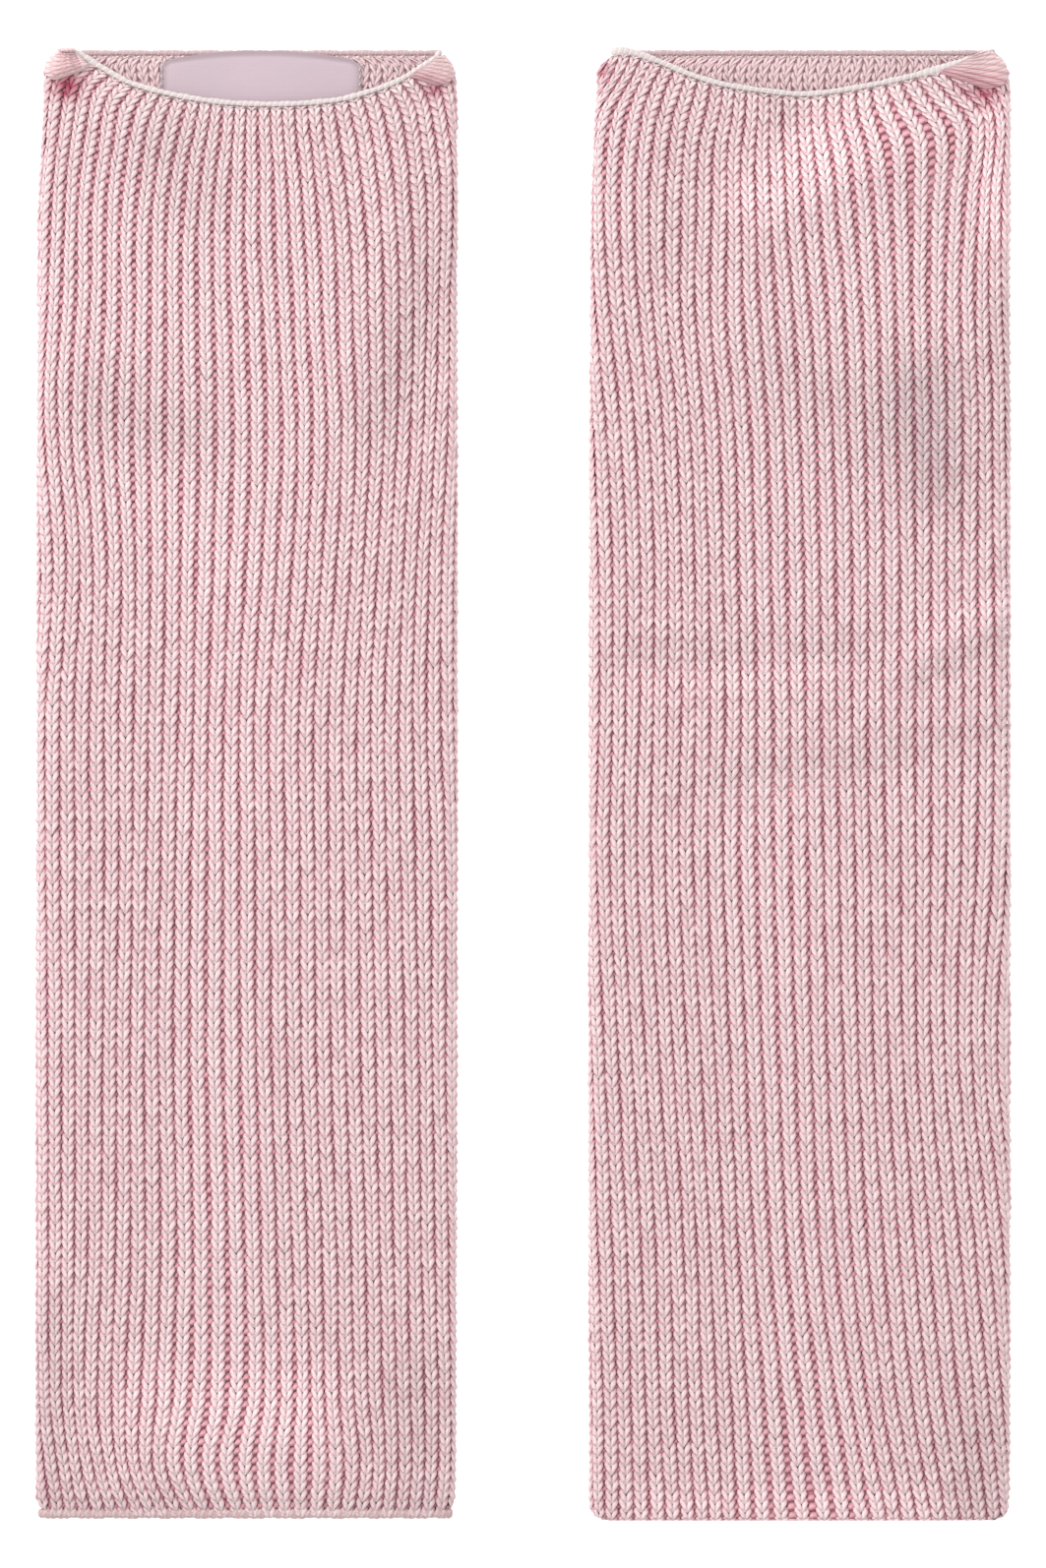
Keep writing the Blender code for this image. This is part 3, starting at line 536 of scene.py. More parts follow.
def wrapStitches(name, leg, stitchMesh, firstRib, ribs, firstCourse, courses, kind, seed):
    # a flat swatch laid round the tube: each stitch goes to its own rib and course.
    # Where strokes turn a rib to one side, its stitches roll over its crest that way, and painted shade
    # deepens its far side.
    piece = flatSwatch(name, stitchMesh, ribs, courses)
    flat = readPoints(piece.data)
    rib, course = np.rint(flat[:, 0] / cell), np.rint(flat[:, 1] / cell)
    sideways, along = flat[:, 0] - rib * cell, flat[:, 1] - course * cell
    pick = (course * ribs + rib).astype(int)
    rng = np.random.default_rng(seed)
    shake = {key: (rng.uniform(-1, 1, ribs * courses) * size)[pick] for key, size in uneven.items()}
    tone_and_shade = rng.uniform(0, 1, ribs * courses)[pick]
    ribMiddle = rib + firstRib + (0.0 if kind == "groove" else 0.5)
    if kind == "inside":
        ribMiddle = insideKnit["from"] + rib * insideKnit["step"]
    coursePitch = (mouthTop - hemStart(leg)) / tube["courses"]
    height = courseHeight(leg, course + firstCourse + (along + shake["along"]) / coursePitch)
    height = squeezeToEdges(leg, height)
    half, pitch = halfRib(leg, ribMiddle, height)
    if kind == "inside":
        half = pitch * insideKnit["step"] * insideKnit["overlap"] / 2
    gap = pitch - 2 * half
    openness = np.clip((gap - ribWidth["tightGap"]) / (ribWidth["looseGap"] - ribWidth["tightGap"]), 0, 1)
    z = flat[:, 2] + shake["out"] - uneven["out"]
    if kind == "groove":
        sideways = sideways * (gap + purlBead["tuck"]) / purlBead["width"]
        z = z + purlBead["looseRise"] * openness
    else:
        share = np.clip(sideways / vStitch["roll"], -vStitch["mostShare"], vStitch["mostShare"])
        if kind == "rib":
            turn = sumStrokes(leg["turned"], ribPlace(leg, ribMiddle, height), height)
            turn = np.minimum(turn, ribWidth["mostTurn"])
            turned = share - turn * (1 - share ** 2)
            raised = np.sqrt(1 - turned ** 2) - np.sqrt(1 - share ** 2)
            z = z + vStitch["roll"] * vStitch["rollDepth"] * raised
            # painted shade on the far side of a turned rib
            farSide = smoothStep(share + ribWidth["shadeFrom"])
            tone_and_shade = tone_and_shade - ribWidth["turnShade"] * turn * farSide / toneAndShadeSpread
            share = turned
        sideways = share * half
    sideways = sideways * (1 + shake["width"]) + shake["sideways"] + ribSway(rib + firstRib, height)
    z = np.minimum(z, 0.0)
    if kind == "inside":
        out = -insideKnit["proud"] - z * insideKnit["flatter"]
        points = clothPoints(leg, ribMiddle, -sideways, height, out)
    else:
        points = clothPoints(leg, ribMiddle, sideways, height, tube["wall"] + z)
    writePoints(piece.data, placeInWorld(leg, points))
    # painted shade in the hollows of the corner tucks
    tuckShade = np.zeros(len(points))
    for x, y, reach, share in leg["tucks"]:
        tuckShade += share * np.exp(-((points[:, 0] - x) ** 2 + (points[:, 1] - y) ** 2) / reach ** 2)
    if kind in ("rib", "groove"):
        # painted light and shade over the folds, from the strokes, added to the stitch's tone
        tone_and_shade = tone_and_shade + sumStrokes(leg["paintedLightShade"], points[:, 0], points[:, 1]) / toneAndShadeSpread
    addAttribute(piece.data, "tone_and_shade", tone_and_shade)
    # painted shade: the lower a point lies below the crests, the more of the yarn's deep colour it gets
    depth = -z / fullDepth * (1 - ribWidth["loosePaler"] * openness)
    addAttribute(piece.data, "depth", np.clip(depth + tuckShade, 0, 1))
    addAttribute(piece.data, "edge", np.exp(-np.maximum(mouthTop - height, 0) / edgeFade))
    return piece


# shading: effects that several yarns share

def addNode(tree, kind, **settings):
    node = tree.nodes.new(kind)
    for key, value in settings.items():
        if key in node.inputs:
            node.inputs[key].default_value = value
        else:
            setattr(node, key, value)
    return node


def feed(tree, socket, source):
    # a socket takes another node's output, or a plain value
    if isinstance(source, bpy.types.NodeSocket):
        tree.links.new(source, socket)
    else:
        socket.default_value = source


def calculate(tree, operation, *sources):
    node = addNode(tree, "ShaderNodeMath", operation=operation)
    for socket, source in zip(node.inputs, sources):
        feed(tree, socket, source)
    return node.outputs[0]


def mixColors(tree, share, first, second, blend="MIX"):
    node = addNode(tree, "ShaderNodeMix", data_type="RGBA", blend_type=blend)
    factor, a, b = node.inputs[0], node.inputs[6], node.inputs[7]
    for socket, source in ((factor, share), (a, first), (b, second)):
        feed(tree, socket, source)
    return node.outputs[2]


def newGroup(name, inputs, outputs):
    # a shader group with named sockets: inputs as {name: default value}, outputs as {name: kind}
    group = bpy.data.node_groups.new(name, "ShaderNodeTree")
    for label, value in inputs.items():
        socket = group.interface.new_socket(label, in_out="INPUT", socket_type="NodeSocketFloat")
        socket.default_value = value
    for label, kind in outputs.items():
        group.interface.new_socket(label, in_out="OUTPUT", socket_type=kind)
    return group, group.nodes.new("NodeGroupInput"), group.nodes.new("NodeGroupOutput")


def placeGroup(tree, group, **values):
    node = tree.nodes.new("ShaderNodeGroup")
    node.node_tree = group
    for label, value in values.items():
        node.inputs[label].default_value = value
    return node


def makePlyTwist():
    # two plies wound round each other along a strand, from its own UV map
    tree, given, made = newGroup("plyTwist", {"Turns": 1.6, "Softness": 0.9},
                                 {"Ply": "NodeSocketFloat", "Relief": "NodeSocketFloat"})
    strand = addNode(tree, "ShaderNodeUVMap", uv_map="strand")
    split = addNode(tree, "ShaderNodeSeparateXYZ")
    tree.links.new(strand.outputs["UV"], split.inputs[0])
    wound = calculate(tree, "MULTIPLY", split.outputs["Y"], given.outputs["Turns"])
    turned = calculate(tree, "ADD", split.outputs["X"], wound)
    wave = calculate(tree, "COSINE", calculate(tree, "MULTIPLY", turned, 2 * pi))
    low = calculate(tree, "MULTIPLY", given.outputs["Softness"], -1.0)
    ply = addNode(tree, "ShaderNodeMapRange", interpolation_type="SMOOTHSTEP")
    tree.links.new(wave, ply.inputs["Value"])
    tree.links.new(low, ply.inputs["From Min"])
    tree.links.new(given.outputs["Softness"], ply.inputs["From Max"])
    relief = calculate(tree, "MULTIPLY", wave, wave)
    tree.links.new(ply.outputs["Result"], made.inputs["Ply"])
    tree.links.new(relief, made.inputs["Relief"])
    return tree


def makeFibres():
    # fine cotton fibres, as a value round 0.5
    tree, given, made = newGroup("fibres", {"Scale": 4000.0}, {"Value": "NodeSocketFloat"})
    place = addNode(tree, "ShaderNodeTexCoord")
    noise = addNode(tree, "ShaderNodeTexNoise", Detail=3.0, Roughness=0.6)
    tree.links.new(place.outputs["Object"], noise.inputs["Vector"])
    tree.links.new(given.outputs["Scale"], noise.inputs["Scale"])
    tree.links.new(noise.outputs["Fac"], made.inputs["Value"])
    return tree


def makeStitchMasks():
    # what each stitch carries: its own tone with painted light and shade added to it, how deep it lies,
    # which sets the painted groove shade, and how near the mouth's edge
    tree, given, made = newGroup("stitchMasks", {"Depth Power": 1.7},
                                 {"Tone_and_shade": "NodeSocketFloat", "Depth": "NodeSocketFloat",
                                  "Edge": "NodeSocketFloat"})
    read = {label: addNode(tree, "ShaderNodeAttribute", attribute_name=label.lower()).outputs["Fac"]
            for label in ("Tone_and_shade", "Depth", "Edge")}
    read["Depth"] = calculate(tree, "POWER", read["Depth"], given.outputs["Depth Power"])
    for label, output in read.items():
        tree.links.new(output, made.inputs[label])
    return tree


plyTwist, fibres, stitchMasks = makePlyTwist(), makeFibres(), makeStitchMasks()


def sRGB(red, green, blue):
    # a colour given as on a screen, 0 to 255
    levels = [level / 255 for level in (red, green, blue)]
    return [v / 12.92 if v <= 0.04045 else ((v + 0.055) / 1.055) ** 2.4 for v in levels] + [1.0]


def newMaterial(name, finish):
    # its finish goes straight on the shader's own sockets
    material = bpy.data.materials.new(name)
    material.use_nodes = True
    shader = material.node_tree.nodes["Principled BSDF"]
    for label, value in finish.items():
        shader.inputs[label].default_value = value
    return material, material.node_tree, shader


def dressShader(tree, shader, color, shade, relief, strength, distance):
    # the colour darkened by a shade, and the relief as a bump
    grey = addNode(tree, "ShaderNodeCombineColor")
    for socket in grey.inputs[:3]:
        tree.links.new(shade, socket)
    color = mixColors(tree, 1.0, color, grey.outputs[0], "MULTIPLY")
    bump = addNode(tree, "ShaderNodeBump", Strength=strength, Distance=distance)
    tree.links.new(relief, bump.inputs["Height"])
    tree.links.new(color, shader.inputs["Base Color"])
    tree.links.new(bump.outputs["Normal"], shader.inputs["Normal"])


# each yarn's colours; the deep one is painted shade, laid on by the depth mask, deepShare is how far it
# comes in, relief in metres
yarnLooks = {
    "ribYarn": {"pink": sRGB(242, 211, 215), "cream": sRGB(240, 221, 222), "deep": sRGB(173, 62, 92),
                "edge": sRGB(238, 222, 221), "deepShare": 1.0, "turns": 2.0, "relief": 0.00012},
    "grooveYarn": {"pink": sRGB(221, 166, 176), "cream": sRGB(227, 182, 190), "deep": sRGB(204, 116, 134),
                   "edge": sRGB(240, 218, 219), "deepShare": 0.8, "turns": 1.3, "relief": 0.00010},
    "edgeYarn": {"pink": sRGB(210, 197, 197), "cream": sRGB(216, 209, 207), "deep": sRGB(178, 148, 152),
                 "edge": sRGB(216, 209, 207), "deepShare": 1.0, "turns": 1.0, "relief": 0.00008},
    "hemYarn": {"pink": sRGB(202, 175, 175), "cream": sRGB(206, 189, 187), "deep": sRGB(172, 116, 126),
                "edge": sRGB(206, 185, 185), "deepShare": 1.0, "turns": 1.0, "relief": 0.00012},
    "foldYarn": {"pink": sRGB(226, 190, 193), "cream": sRGB(232, 210, 209), "deep": sRGB(184, 100, 118),
                 "edge": sRGB(232, 204, 205), "deepShare": 1.0, "turns": 0.6, "relief": 0.00015},
    "insideYarn": {"pink": sRGB(234, 199, 204), "cream": sRGB(230, 206, 207), "deep": sRGB(230, 186, 193),
                   "edge": sRGB(228, 203, 205), "deepShare": 0.8, "turns": 1.7, "relief": 0.00010},
}


yarnFinish = {"Roughness": 0.85, "Specular IOR Level": 0.25, "Sheen Weight": 0.25, "Sheen Roughness": 0.5}
fuzzLook = {
    "shade": 0.3,              # how much the fibres darken and lighten the yarn
    "relief": 0.5,             # their share in the relief, beside the twist's
    "strength": 0.8,
    "edgeShare": 0.5,          # of the edge colour, right at the mouth
}


def yarnMaterial(name):
    look = yarnLooks[name]
    material, tree, shader = newMaterial(name, yarnFinish)
    twist = placeGroup(tree, plyTwist, Turns=look["turns"])
    masks = placeGroup(tree, stitchMasks)
    fuzz = placeGroup(tree, fibres)
    color = mixColors(tree, twist.outputs["Ply"], look["pink"], look["cream"])
    atEdge = calculate(tree, "MULTIPLY", masks.outputs["Edge"], fuzzLook["edgeShare"])
    color = mixColors(tree, atEdge, color, look["edge"])
    # painted shade: the deep colour, by the depth mask
    deep = calculate(tree, "MULTIPLY", masks.outputs["Depth"], look["deepShare"])
    color = mixColors(tree, deep, color, look["deep"])
    shade = calculate(tree, "MULTIPLY_ADD", masks.outputs["Tone_and_shade"], toneAndShadeSpread, 1 - toneAndShadeSpread / 2)
    mottle = calculate(tree, "MULTIPLY_ADD", fuzz.outputs[0], fuzzLook["shade"], 1 - fuzzLook["shade"] / 2)
    shade = calculate(tree, "MULTIPLY", shade, mottle)
    relief = calculate(tree, "MULTIPLY_ADD", fuzz.outputs[0], fuzzLook["relief"], twist.outputs["Relief"])
    dressShader(tree, shader, color, shade, relief, fuzzLook["strength"], look["relief"])
    return material


clothLook = {
    # crest and groove: painted shade, the deep pink of the shadowed knitting between and under the stitches
    "crest": sRGB(180, 80, 106),
    "groove": sRGB(222, 142, 158),
    "inside": sRGB(230, 182, 190),
    "coursesPerMetre": 510.0,
    "rowShade": 0.2,           # how much darker it is between two rows
    "fuzz": 0.4,               # the fibres' share in its relief
    "strength": 0.7,
    "relief": 0.0003,          # metres
    "finish": {"Roughness": 0.9},
}


def clothMaterial():
    # the knitting behind the stitches, seen in the grooves and inside the tube; its crest and groove colours
    # are a deep pink painted shade
    material, tree, shader = newMaterial("innerKnit", clothLook["finish"])
    masks = placeGroup(tree, stitchMasks)
    fuzz = placeGroup(tree, fibres)
    place = addNode(tree, "ShaderNodeTexCoord")
    rows = addNode(tree, "ShaderNodeTexWave", wave_type="BANDS", bands_direction="Y",
                   Scale=clothLook["coursesPerMetre"] * pi / 10, Distortion=1.0, Detail=1.0)
    tree.links.new(place.outputs["Object"], rows.inputs["Vector"])
    color = mixColors(tree, masks.outputs["Depth"], clothLook["crest"], clothLook["groove"])
    color = mixColors(tree, masks.outputs["Tone_and_shade"], color, clothLook["inside"])
    darkest = 1 - clothLook["rowShade"]
    shade = calculate(tree, "MULTIPLY_ADD", rows.outputs["Fac"], clothLook["rowShade"], darkest)
    relief = calculate(tree, "MULTIPLY_ADD", fuzz.outputs[0], clothLook["fuzz"], rows.outputs["Fac"])
    dressShader(tree, shader, color, shade, relief, clothLook["strength"], clothLook["relief"])
    return material


yarns = {name: yarnMaterial(name) for name in yarnLooks}
innerKnit = clothMaterial()
print("materials made")


# the cloth behind the stitches: one closed shell for each leg

shell = {
    "crest": 1.25,             # how far its outer face lies below the ribs' crests
    "groove": 1.55,            # and below them in the grooves
    "inner": 0.45,             # its inner face from the slit, under the stitches there
    "crestShare": 0.40,        # of a rib's half width, where the shell's crest has its edges
    "rimShares": (0.6, 0.25),  # steps from the outer face over a rim to the inner one
    "fineCourses": (0, 0.5, 1, 1.5, 2, 3),
    "courseStep": 2,
    "insideStep": 8,
}


def clothShell(side, leg):
    fine, last = list(shell["fineCourses"]), tube["courses"]
    between = [c for c in range(4, last - 3)
               if c % shell["courseStep"] == 0 or any(low <= c <= high for low, high in leg["creased"])]
    up = fine + between + [last - c for c in reversed(fine)]
    down = [last - c for c in fine] + list(range(last - 8, 3, -shell["insideStep"])) + [3, 1, 0]
    rows = [(c, 1.0) for c in up] + [(last, share) for share in shell["rimShares"]]
    rows += [(c, 0.0) for c in down] + [(0, share) for share in reversed(shell["rimShares"])]
    rows = np.array(rows, float)

    def pointAt(column, row):
        rib, part = np.divmod(column, 3)
        onCrest = part > 0
        height = courseHeight(leg, rows[row, 0])
        middle = rib + 0.5 * onCrest
        half = halfRib(leg, rib + 0.5, height)[0]
        sideways = np.where(onCrest, (part * 2 - 3) * half * shell["crestShare"], 0.0)
        below = np.where(onCrest, shell["crest"], shell["groove"])
        out = shell["inner"] + (tube["wall"] - below - shell["inner"]) * rows[row, 1]
        return placeInWorld(leg, clothPoints(leg, middle, sideways, height, out))

    bm = wrappedGrid(3 * tube["ribs"], len(rows), pointAt)
    piece = newPiece(f"{side}_leg_cloth", bm, innerKnit, f"{side}_leg")
    column, row = (readAttribute(piece.data, key) for key in ("column", "row"))
    addAttribute(piece.data, "depth", np.where(column % 3 == 0, 1.0, 0.0))
    course, outward = rows[row.astype(int)].T
    addAttribute(piece.data, "tone_and_shade", np.where(course >= last - 1, 1.0, 1 - outward))
    return piece


# cords that run round a rim: the bound-off mouth and the cast-on hem

# round and thick: half sizes along the leg and out of the cloth. past: beyond the rim. out: from the
# inner face. bulge: how much each of the links swells. twist: how far the links slant. backRound,
# backDeep: its size and how deep its colour is behind. wider: how far it spreads past the cloth.
# valleyDeep: how much painted shade deepens its colour between two links.
mouthChain = {"round": 0.60, "thick": 0.56, "past": 0.90, "out": 1.35, "bulge": 0.07, "links": 120,
              "twist": 1, "backRound": 0.62, "backDeep": 0.78, "wider": 1.0, "swells": True,
              "valleyDeep": 0.3}
hemBand = {"round": 0.95, "thick": 0.80, "past": -0.95, "out": 1.15, "bulge": 0.09, "links": 120,
           "twist": 2, "backRound": 0.95, "backDeep": 0.5, "wider": 1.022, "swells": False,
           "valleyDeep": 0.7}
cordStations = 720
cordSides = 8
cordTone = 0.6
cordWobble = ((0.08, 2.3, 0.0), (0.06, 5.1, 1.0))      # share of its size, waves per rib, start


def onBack(rib):
    # 1 where a rib number lies in the back layer, 0 in front
    return smoothStep(rib - (tube["frontRibs"] + 0.5)) * smoothStep(tube["ribs"] - rib)


def rimCord(name, leg, look, rimHeight, replaced, yarn):
    stations, cordSteps = cordStations, cordStations // look["links"]
    rib = np.arange(stations) * tube["ribs"] / stations
    height = np.full(stations, rimHeight + look["past"])
    middles = clothPoints(leg, rib, np.zeros(stations), height, np.full(stations, look["out"]))
    middles[:, 0] *= look["wider"]
    tangents = np.roll(middles, -1, axis=0) - np.roll(middles, 1, axis=0)
    tangents /= np.linalg.norm(tangents, axis=1)[:, None]
    along = np.array((0.0, 1.0, 0.0)) - tangents * tangents[:, 1:2]
    along /= np.linalg.norm(along, axis=1)[:, None]
    across = np.cross(tangents, along)
    behind = onBack(rib)
    halfHeight = look["round"] + (look["backRound"] - look["round"]) * behind
    wobble = 1.0
    for size, rate, start in cordWobble:
        wobble = wobble + size * np.sin(rib * rate + start)
    halfHeight *= wobble
    for marked, reach, extra in leg["swells"] if look["swells"] else ():
        halfHeight += extra * np.exp(-((rib - marked) / reach) ** 2)

    def pointAt(column, row):
        angle = row / cordSides * 2 * pi
        link = column / cordSteps * 2 * pi
        size = 1 + look["bulge"] * np.cos(link + look["twist"] * angle)
        offset = along[column] * (np.cos(angle) * size * halfHeight[column])[:, None]
        offset = offset + across[column] * (np.sin(angle) * size * look["thick"])[:, None]
        return placeInWorld(leg, middles[column] + offset)

    bm = wrappedGrid(stations, cordSides, pointAt, unit=cordSteps)
    piece = newPiece(name, bm, yarn, replaced)
    column = readAttribute(piece.data, "column").astype(int)
    link = column / cordSteps + look["twist"] * readAttribute(piece.data, "row") / cordSides
    # painted shade between two links
    between = look["valleyDeep"] * (0.5 - 0.5 * np.cos(link * 2 * pi))
    addAttribute(piece.data, "depth", np.maximum(behind[column] * look["backDeep"], between))
    addAttribute(piece.data, "tone_and_shade", np.full(len(column), cordTone))
    return piece


# the folded corners of the mouths

cornerLook = {
    "strands": 8, "acrossEach": 6, "along": 32,      # gathered strands, and faces across and along them
    "strandDepth": 0.42,       # mm
    "links": 6, "linkDepth": 0.05,
    "cover": 0.15,             # how far it lies over the stitches
    "swell": 0.20,             # and how much further in its middle
    "curl": 0.8,               # its lower edge rolls down this much
    "thickness": 0.5,
    "ridge": 0.6,              # below 1, a strand is fuller than a plain wave
    "rimEase": 3, "edgeEase": 5,    # its relief comes in over a third of its length, goes over a fifth
    "curlFrom": 0.88,          # where across it the lower edge starts to roll down
    "deepFrom": 0.3,           # where across it the painted shade of its lower side starts
    "valleyDeep": 0.5,         # how much painted shade deepens the colour between two strands
    "sideMost": 0.98,          # how far round the side turn it may lie
}


def frontTop(leg, x, y):
    # the height of the ribs' crests at a place seen from above
    left, right = sideLimits(leg, y)
    beyond = np.clip(np.maximum(x - right, left - x) / sideReach, 0.0, cornerLook["sideMost"])
    up = np.sqrt(1 - beyond ** 2)
    return midHeight + up * sideReach + sumStrokes(leg["folds"], x, y) * smoothStep((up + 1) / 2)


def cornerFold(name, leg, look):
    # gathered strands that fan out from the rim to the leg's outline
    strands = cornerLook["strands"]
    bm = bmesh.new()
    uv = bm.loops.layers.uv.new("strand")
    columns, rows = strands * cornerLook["acrossEach"], cornerLook["along"]
    bmesh.ops.create_grid(bm, x_segments=columns, y_segments=rows, size=0.5)
    grid = np.array([vert.co for vert in bm.verts]) + 0.5
    across, along = grid[:, 0], grid[:, 1]
    edge, rim = np.array(look["edge"]), np.array(look["rim"])
    marks = np.arange(len(edge))
    ends = np.column_stack([curveThrough(marks, edge[:, k], across * marks[-1]) for k in (0, 1)])
    starts = rim[0] + (rim[1] - rim[0]) * across[:, None]
    x, y = (starts + (ends - starts) * along[:, None]).T
    roundness = np.abs(np.sin(across * strands * pi)) ** cornerLook["ridge"]
    rope = np.cos(2 * pi * (along * cornerLook["links"] + across * strands)) * cornerLook["linkDepth"]
    within = smoothStep(along * cornerLook["rimEase"]) * smoothStep((1 - along) * cornerLook["edgeEase"])
    middle = np.clip(4 * across * (1 - across), 0, 1) ** 0.5 * within
    z = frontTop(leg, x, y) + cornerLook["cover"] + cornerLook["swell"] * middle
    z += (cornerLook["strandDepth"] + rope) * roundness * within
    z -= cornerLook["curl"] * smoothStep((across - cornerLook["curlFrom"]) / (1 - cornerLook["curlFrom"]))
    points = placeInWorld(leg, np.column_stack((x, y, z)))
    bm.verts.index_update()
    for face in bm.faces:
        for loop in face.loops:
            k = loop.vert.index
            loop[uv].uv = (across[k] * strands, along[k] * cornerLook["links"])
    depth = bm.verts.layers.float.new("depth")
    # painted shade between the strands and on the lower side, under the curl
    lower = smoothStep((across - cornerLook["deepFrom"]) / (1 - cornerLook["deepFrom"]))
    shaded = np.minimum(cornerLook["valleyDeep"] * (1 - roundness) + look["deep"] * lower, 1.0)
    for vert, point in zip(bm.verts, points):
        vert[depth] = shaded[vert.index]
        vert.co = point
    bmesh.ops.recalc_face_normals(bm, faces=bm.faces[:])
    bmesh.ops.solidify(bm, geom=bm.faces[:], thickness=cornerLook["thickness"] * mm)
    bmesh.ops.recalc_face_normals(bm, faces=bm.faces[:])
    return newPiece(name, bm, yarns["foldYarn"])


# the label, left blank, and the threads that hold its sides

labelLook = {
    "columns": 64, "rows": 36,
    "corner": 2.4,             # mm
    "arch": 2.2,               # its top edge rises this much in the middle
    "wave": 0.10, "waveAcross": 5.0, "waveStart": 1.0, "waveAlong": 2.0,
    "stitchLine": 0.12,        # its border is pressed in this deep where it is sewn
    "stitchAt": 1.0,           # from its edge, in widths of the border, and how wide that line is
    "stitchWide": 0.3,
    "thickness": 0.3,
    "satin": sRGB(187, 172, 180),
    "reflected": sRGB(195, 171, 181),
    "border": sRGB(168, 148, 156),
    "borderWidth": 1.1,        # mm, where its edge is woven and turned under
    "borderEnd": 1.5,          # where the border's colour has gone, in widths of the border
    "threadsPerMetre": 3400.0,
    "threadInset": 0.35,       # mm from its side to the threads that hold it
    "threadRise": 0.3,         # and how far they lie above it
    "threadShade": 0.06,       # how much darker it is between two threads
    "strength": 0.5,
    "relief": 0.00006,         # metres
    "sharp": 50,               # degrees
    "finish": {"Roughness": 0.42, "Sheen Weight": 0.2},
}
labelThread = {"armLength": 1.1, "armWidth": 0.30, "armThickness": 0.3, "fullness": 0.1, "lean": 20.0,
               "apart": 0.0, "rise": 0.0, "lowDip": 0.25, "highDip": 0.25, "roll": 50.0, "rollDepth": 1.0}
threadRows = 9


def satinMaterial():
    material, tree, shader = newMaterial("labelSatin", labelLook["finish"])
    place = addNode(tree, "ShaderNodeTexCoord")
    weave = {}
    for direction, scale in (("X", 1.0), ("Y", 0.6)):
        wave = addNode(tree, "ShaderNodeTexWave", wave_type="BANDS", bands_direction=direction,
                       Scale=labelLook["threadsPerMetre"] * scale * pi / 10, Distortion=0.4)
        tree.links.new(place.outputs["Object"], wave.inputs["Vector"])
        weave[direction] = wave.outputs["Fac"]
    cloudy = addNode(tree, "ShaderNodeTexNoise", Scale=120.0, Detail=2.0)
    tree.links.new(place.outputs["Object"], cloudy.inputs["Vector"])
    color = mixColors(tree, cloudy.outputs["Fac"], labelLook["satin"], labelLook["reflected"])
    border = addNode(tree, "ShaderNodeAttribute", attribute_name="edge")
    color = mixColors(tree, border.outputs["Fac"], color, labelLook["border"])
    darkest = 1 - labelLook["threadShade"]
    shade = calculate(tree, "MULTIPLY_ADD", weave["X"], labelLook["threadShade"], darkest)
    relief = calculate(tree, "MULTIPLY", weave["X"], weave["Y"])
    dressShader(tree, shader, color, shade, relief, labelLook["strength"], labelLook["relief"])
    return material


def makeLabel():
    low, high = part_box("label")
    middle, half = (low + high) / 2, (high - low) / 2
    corner = labelLook["corner"] * mm
    bm = bmesh.new()
    bmesh.ops.create_grid(bm, x_segments=labelLook["columns"], y_segments=labelLook["rows"], size=1.0)
    border = bm.verts.layers.float.new("edge")
    for vert in bm.verts:
        x, y = vert.co.x * half.x, vert.co.y * half.y
        fromEdge = min(half.x - abs(x), half.y - y) / (labelLook["borderWidth"] * mm)
        vert[border] = float(smoothStep(labelLook["borderEnd"] - fromEdge))
        reach = Vector((max(abs(x) - half.x + corner, 0), max(abs(y) - half.y + corner, 0)))
        if reach.x > 0 and reach.y > 0:                    # a square corner drawn in to a round one
            drawn = reach * max(reach) / reach.length - reach
            x += drawn.x * (1 if x > 0 else -1)
            y += drawn.y * (1 if y > 0 else -1)
        if y > 0:
            y -= labelLook["arch"] * mm * vert.co.x ** 2 * vert.co.y
        wave = labelLook["wave"] * mm * np.sin(labelLook["waveAcross"] * vert.co.x + labelLook["waveStart"])
        wave *= np.cos(labelLook["waveAlong"] * vert.co.y)
        fromLine = (fromEdge - labelLook["stitchAt"]) / labelLook["stitchWide"]
        wave -= labelLook["stitchLine"] * mm * np.exp(-fromLine ** 2)
        vert.co = middle + Vector((x, y, wave))
    bmesh.ops.solidify(bm, geom=bm.faces[:], thickness=labelLook["thickness"] * mm)
    bmesh.ops.recalc_face_normals(bm, faces=bm.faces[:])
    label = newPiece("label_blank", bm, satinMaterial(), "label")
    label.data.set_sharp_from_angle(angle=radians(labelLook["sharp"]))

    threadMesh = armMesh("labelThread", 4, 4, labelThread, both=False)
    threads = flatSwatch("label_threads", threadMesh, 2, threadRows)
    points = readPoints(threads.data)
    side, row = np.rint(points[:, 0] / cell), np.rint(points[:, 1] / cell)
    x = points[:, 0] - side * cell
    fromMiddle = half.x / mm - labelLook["threadInset"]
    x = np.where(side > 0, x, -x) + (side * 2 - 1) * fromMiddle + middle.x / mm
    span = 2 * (half.y - corner) / mm
    y = points[:, 1] - row * cell + low.y / mm + labelLook["corner"] + row * span / (threadRows - 1)
    z = points[:, 2] + high.z / mm + labelLook["threadRise"]
    writePoints(threads.data, np.column_stack((x, y, z)) * mm)
    addAttribute(threads.data, "edge", np.ones(len(points)))
    finishPiece(threads, yarns["edgeYarn"])


# assembling each leg

stitchMeshes = {
    "rib": armMesh("ribStitch", 3, 5, vStitch),
    "plain": armMesh("plainStitch", 4, 2, vStitch),
    "groove": beadMesh("grooveStitch", purlBead),
}
fields = (                     # name, kind of mesh, first rib, ribs, how it lies
    ("front_stitches_left", "rib", -2, 16, "rib"),
    ("front_stitches_right", "rib", 14, 17, "rib"),
    ("back_stitches", "plain", 31, 27, "rib"),
    ("groove_stitches", "groove", -1, 32, "groove"),
)

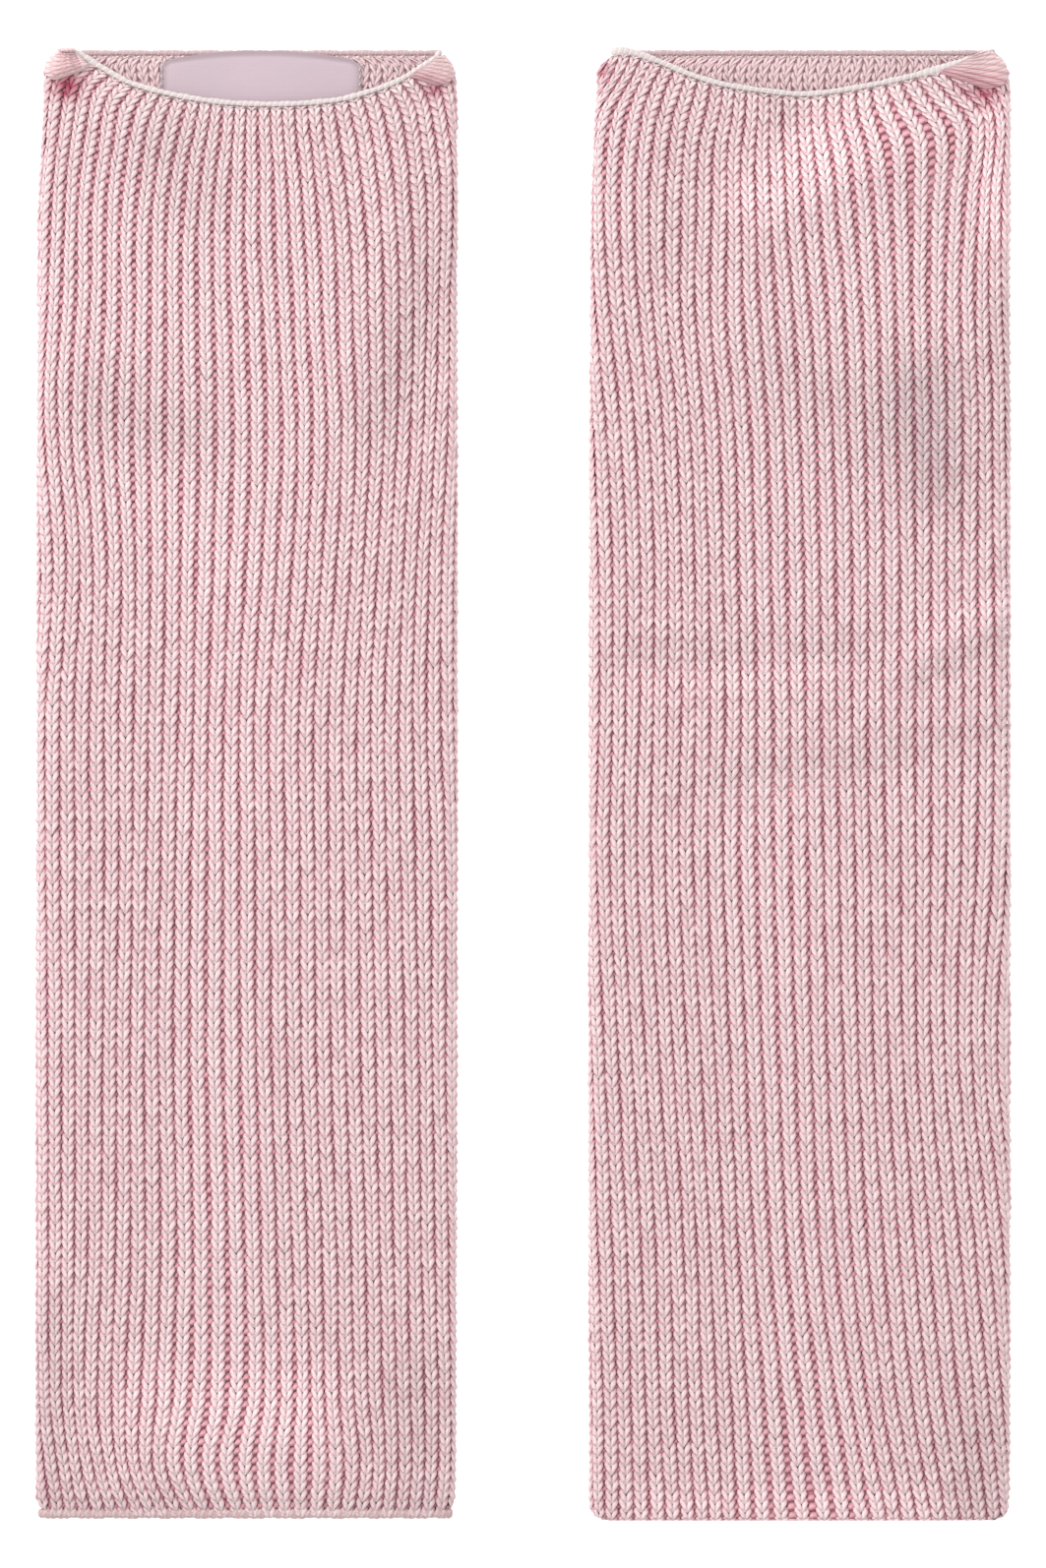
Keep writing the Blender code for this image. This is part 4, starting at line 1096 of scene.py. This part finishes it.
for number, (side, leg) in enumerate(legs.items()):
    for k, (part, meshName, firstRib, ribs, kind) in enumerate(fields):
        piece = wrapStitches(f"{side}_leg_{part}", leg, stitchMeshes[meshName], firstRib, ribs,
                             -1, tube["courses"] + 2, kind, 10 * number + k)
        finishPiece(piece, yarns["grooveYarn" if kind == "groove" else "ribYarn"])
    first = tube["courses"] + 1 - insideKnit["courses"]
    piece = wrapStitches(f"{side}_leg_inside_stitches", leg, stitchMeshes["rib"], 0, insideKnit["ribs"],
                         first, insideKnit["courses"], "inside", 10 * number + 7)
    finishPiece(piece, yarns["insideYarn"])
    for k, look in enumerate(leg["cornerFolds"]):
        cornerFold(f"{side}_corner_fold_{k + 1}", leg, look)
    rimCord(f"{side}_mouth_chain", leg, mouthChain, mouthTop,
                         f"{side}_mouth_edge", yarns["edgeYarn"])
    if leg["hemBand"]:
        rimCord(f"{side}_hem_band", leg, hemBand, hemStart(leg),
                             f"{side}_hem_edge", yarns["hemYarn"])
    cloth = clothShell(side, leg)
    print(side, "leg knitted")


# floor, light and camera

floorPaper = sRGB(250, 249, 249)
floorLook = {"size": 6.0, "finish": {"Base Color": floorPaper, "Roughness": 0.9,
                                     "Emission Color": floorPaper, "Emission Strength": 0.6}}


def makeFloor():
    bm = bmesh.new()
    bmesh.ops.create_grid(bm, x_segments=1, y_segments=1, size=floorLook["size"] / 2)
    floor = linkedObject("floor", meshFrom(bm, "floor"))
    floor.data.materials.append(newMaterial("floorPaper", floorLook["finish"])[0])


lights = {
    "key": {"at": (-0.68, 0.66, 0.95), "size": 1.0, "power": 12.6},
    "fill": {"at": (0.5, 0.1, 1.4), "size": 1.2, "power": 4.0},
}
worldLight = {"color": (1.0, 0.99, 0.985, 1.0), "strength": 0.695}


def makeLights():
    for name, look in lights.items():
        lamp = bpy.data.lights.new(name, "AREA")
        lamp.size, lamp.energy = look["size"], look["power"]
        holder = linkedObject(name, lamp)
        holder.location = look["at"]
        holder.rotation_euler = (-Vector(look["at"])).to_track_quat("-Z", "Y").to_euler()
    world = bpy.data.worlds.new("studio")
    world.use_nodes = True
    background = world.node_tree.nodes["Background"]
    background.inputs["Color"].default_value = worldLight["color"]
    background.inputs["Strength"].default_value = worldLight["strength"]
    bpy.context.scene.world = world


view = {
    "across": 0.2126,          # metres of ground across the frame, 0.2 mm for each of its 1063 columns
    "frame": (1063, 1594),
    "lens": 200.0,
    "sensor": 36.0,            # this spans the frame's long side
    "clothTop": 0.0045,        # the height at which the frame is that wide
}


def makeCamera():
    data = bpy.data.cameras.new("camera")
    data.lens, data.sensor_width = view["lens"], view["sensor"]
    camera = linkedObject("camera", data)
    longSide = view["across"] * view["frame"][1] / view["frame"][0]
    camera.location = (0, 0, view["clothTop"] + longSide * view["lens"] / view["sensor"])
    bpy.context.scene.camera = camera


makeLabel()
print("label sewn in")
makeFloor()
makeLights()
makeCamera()
bpy.context.scene.view_settings.view_transform = "Standard"
print("floor, lights and camera made")
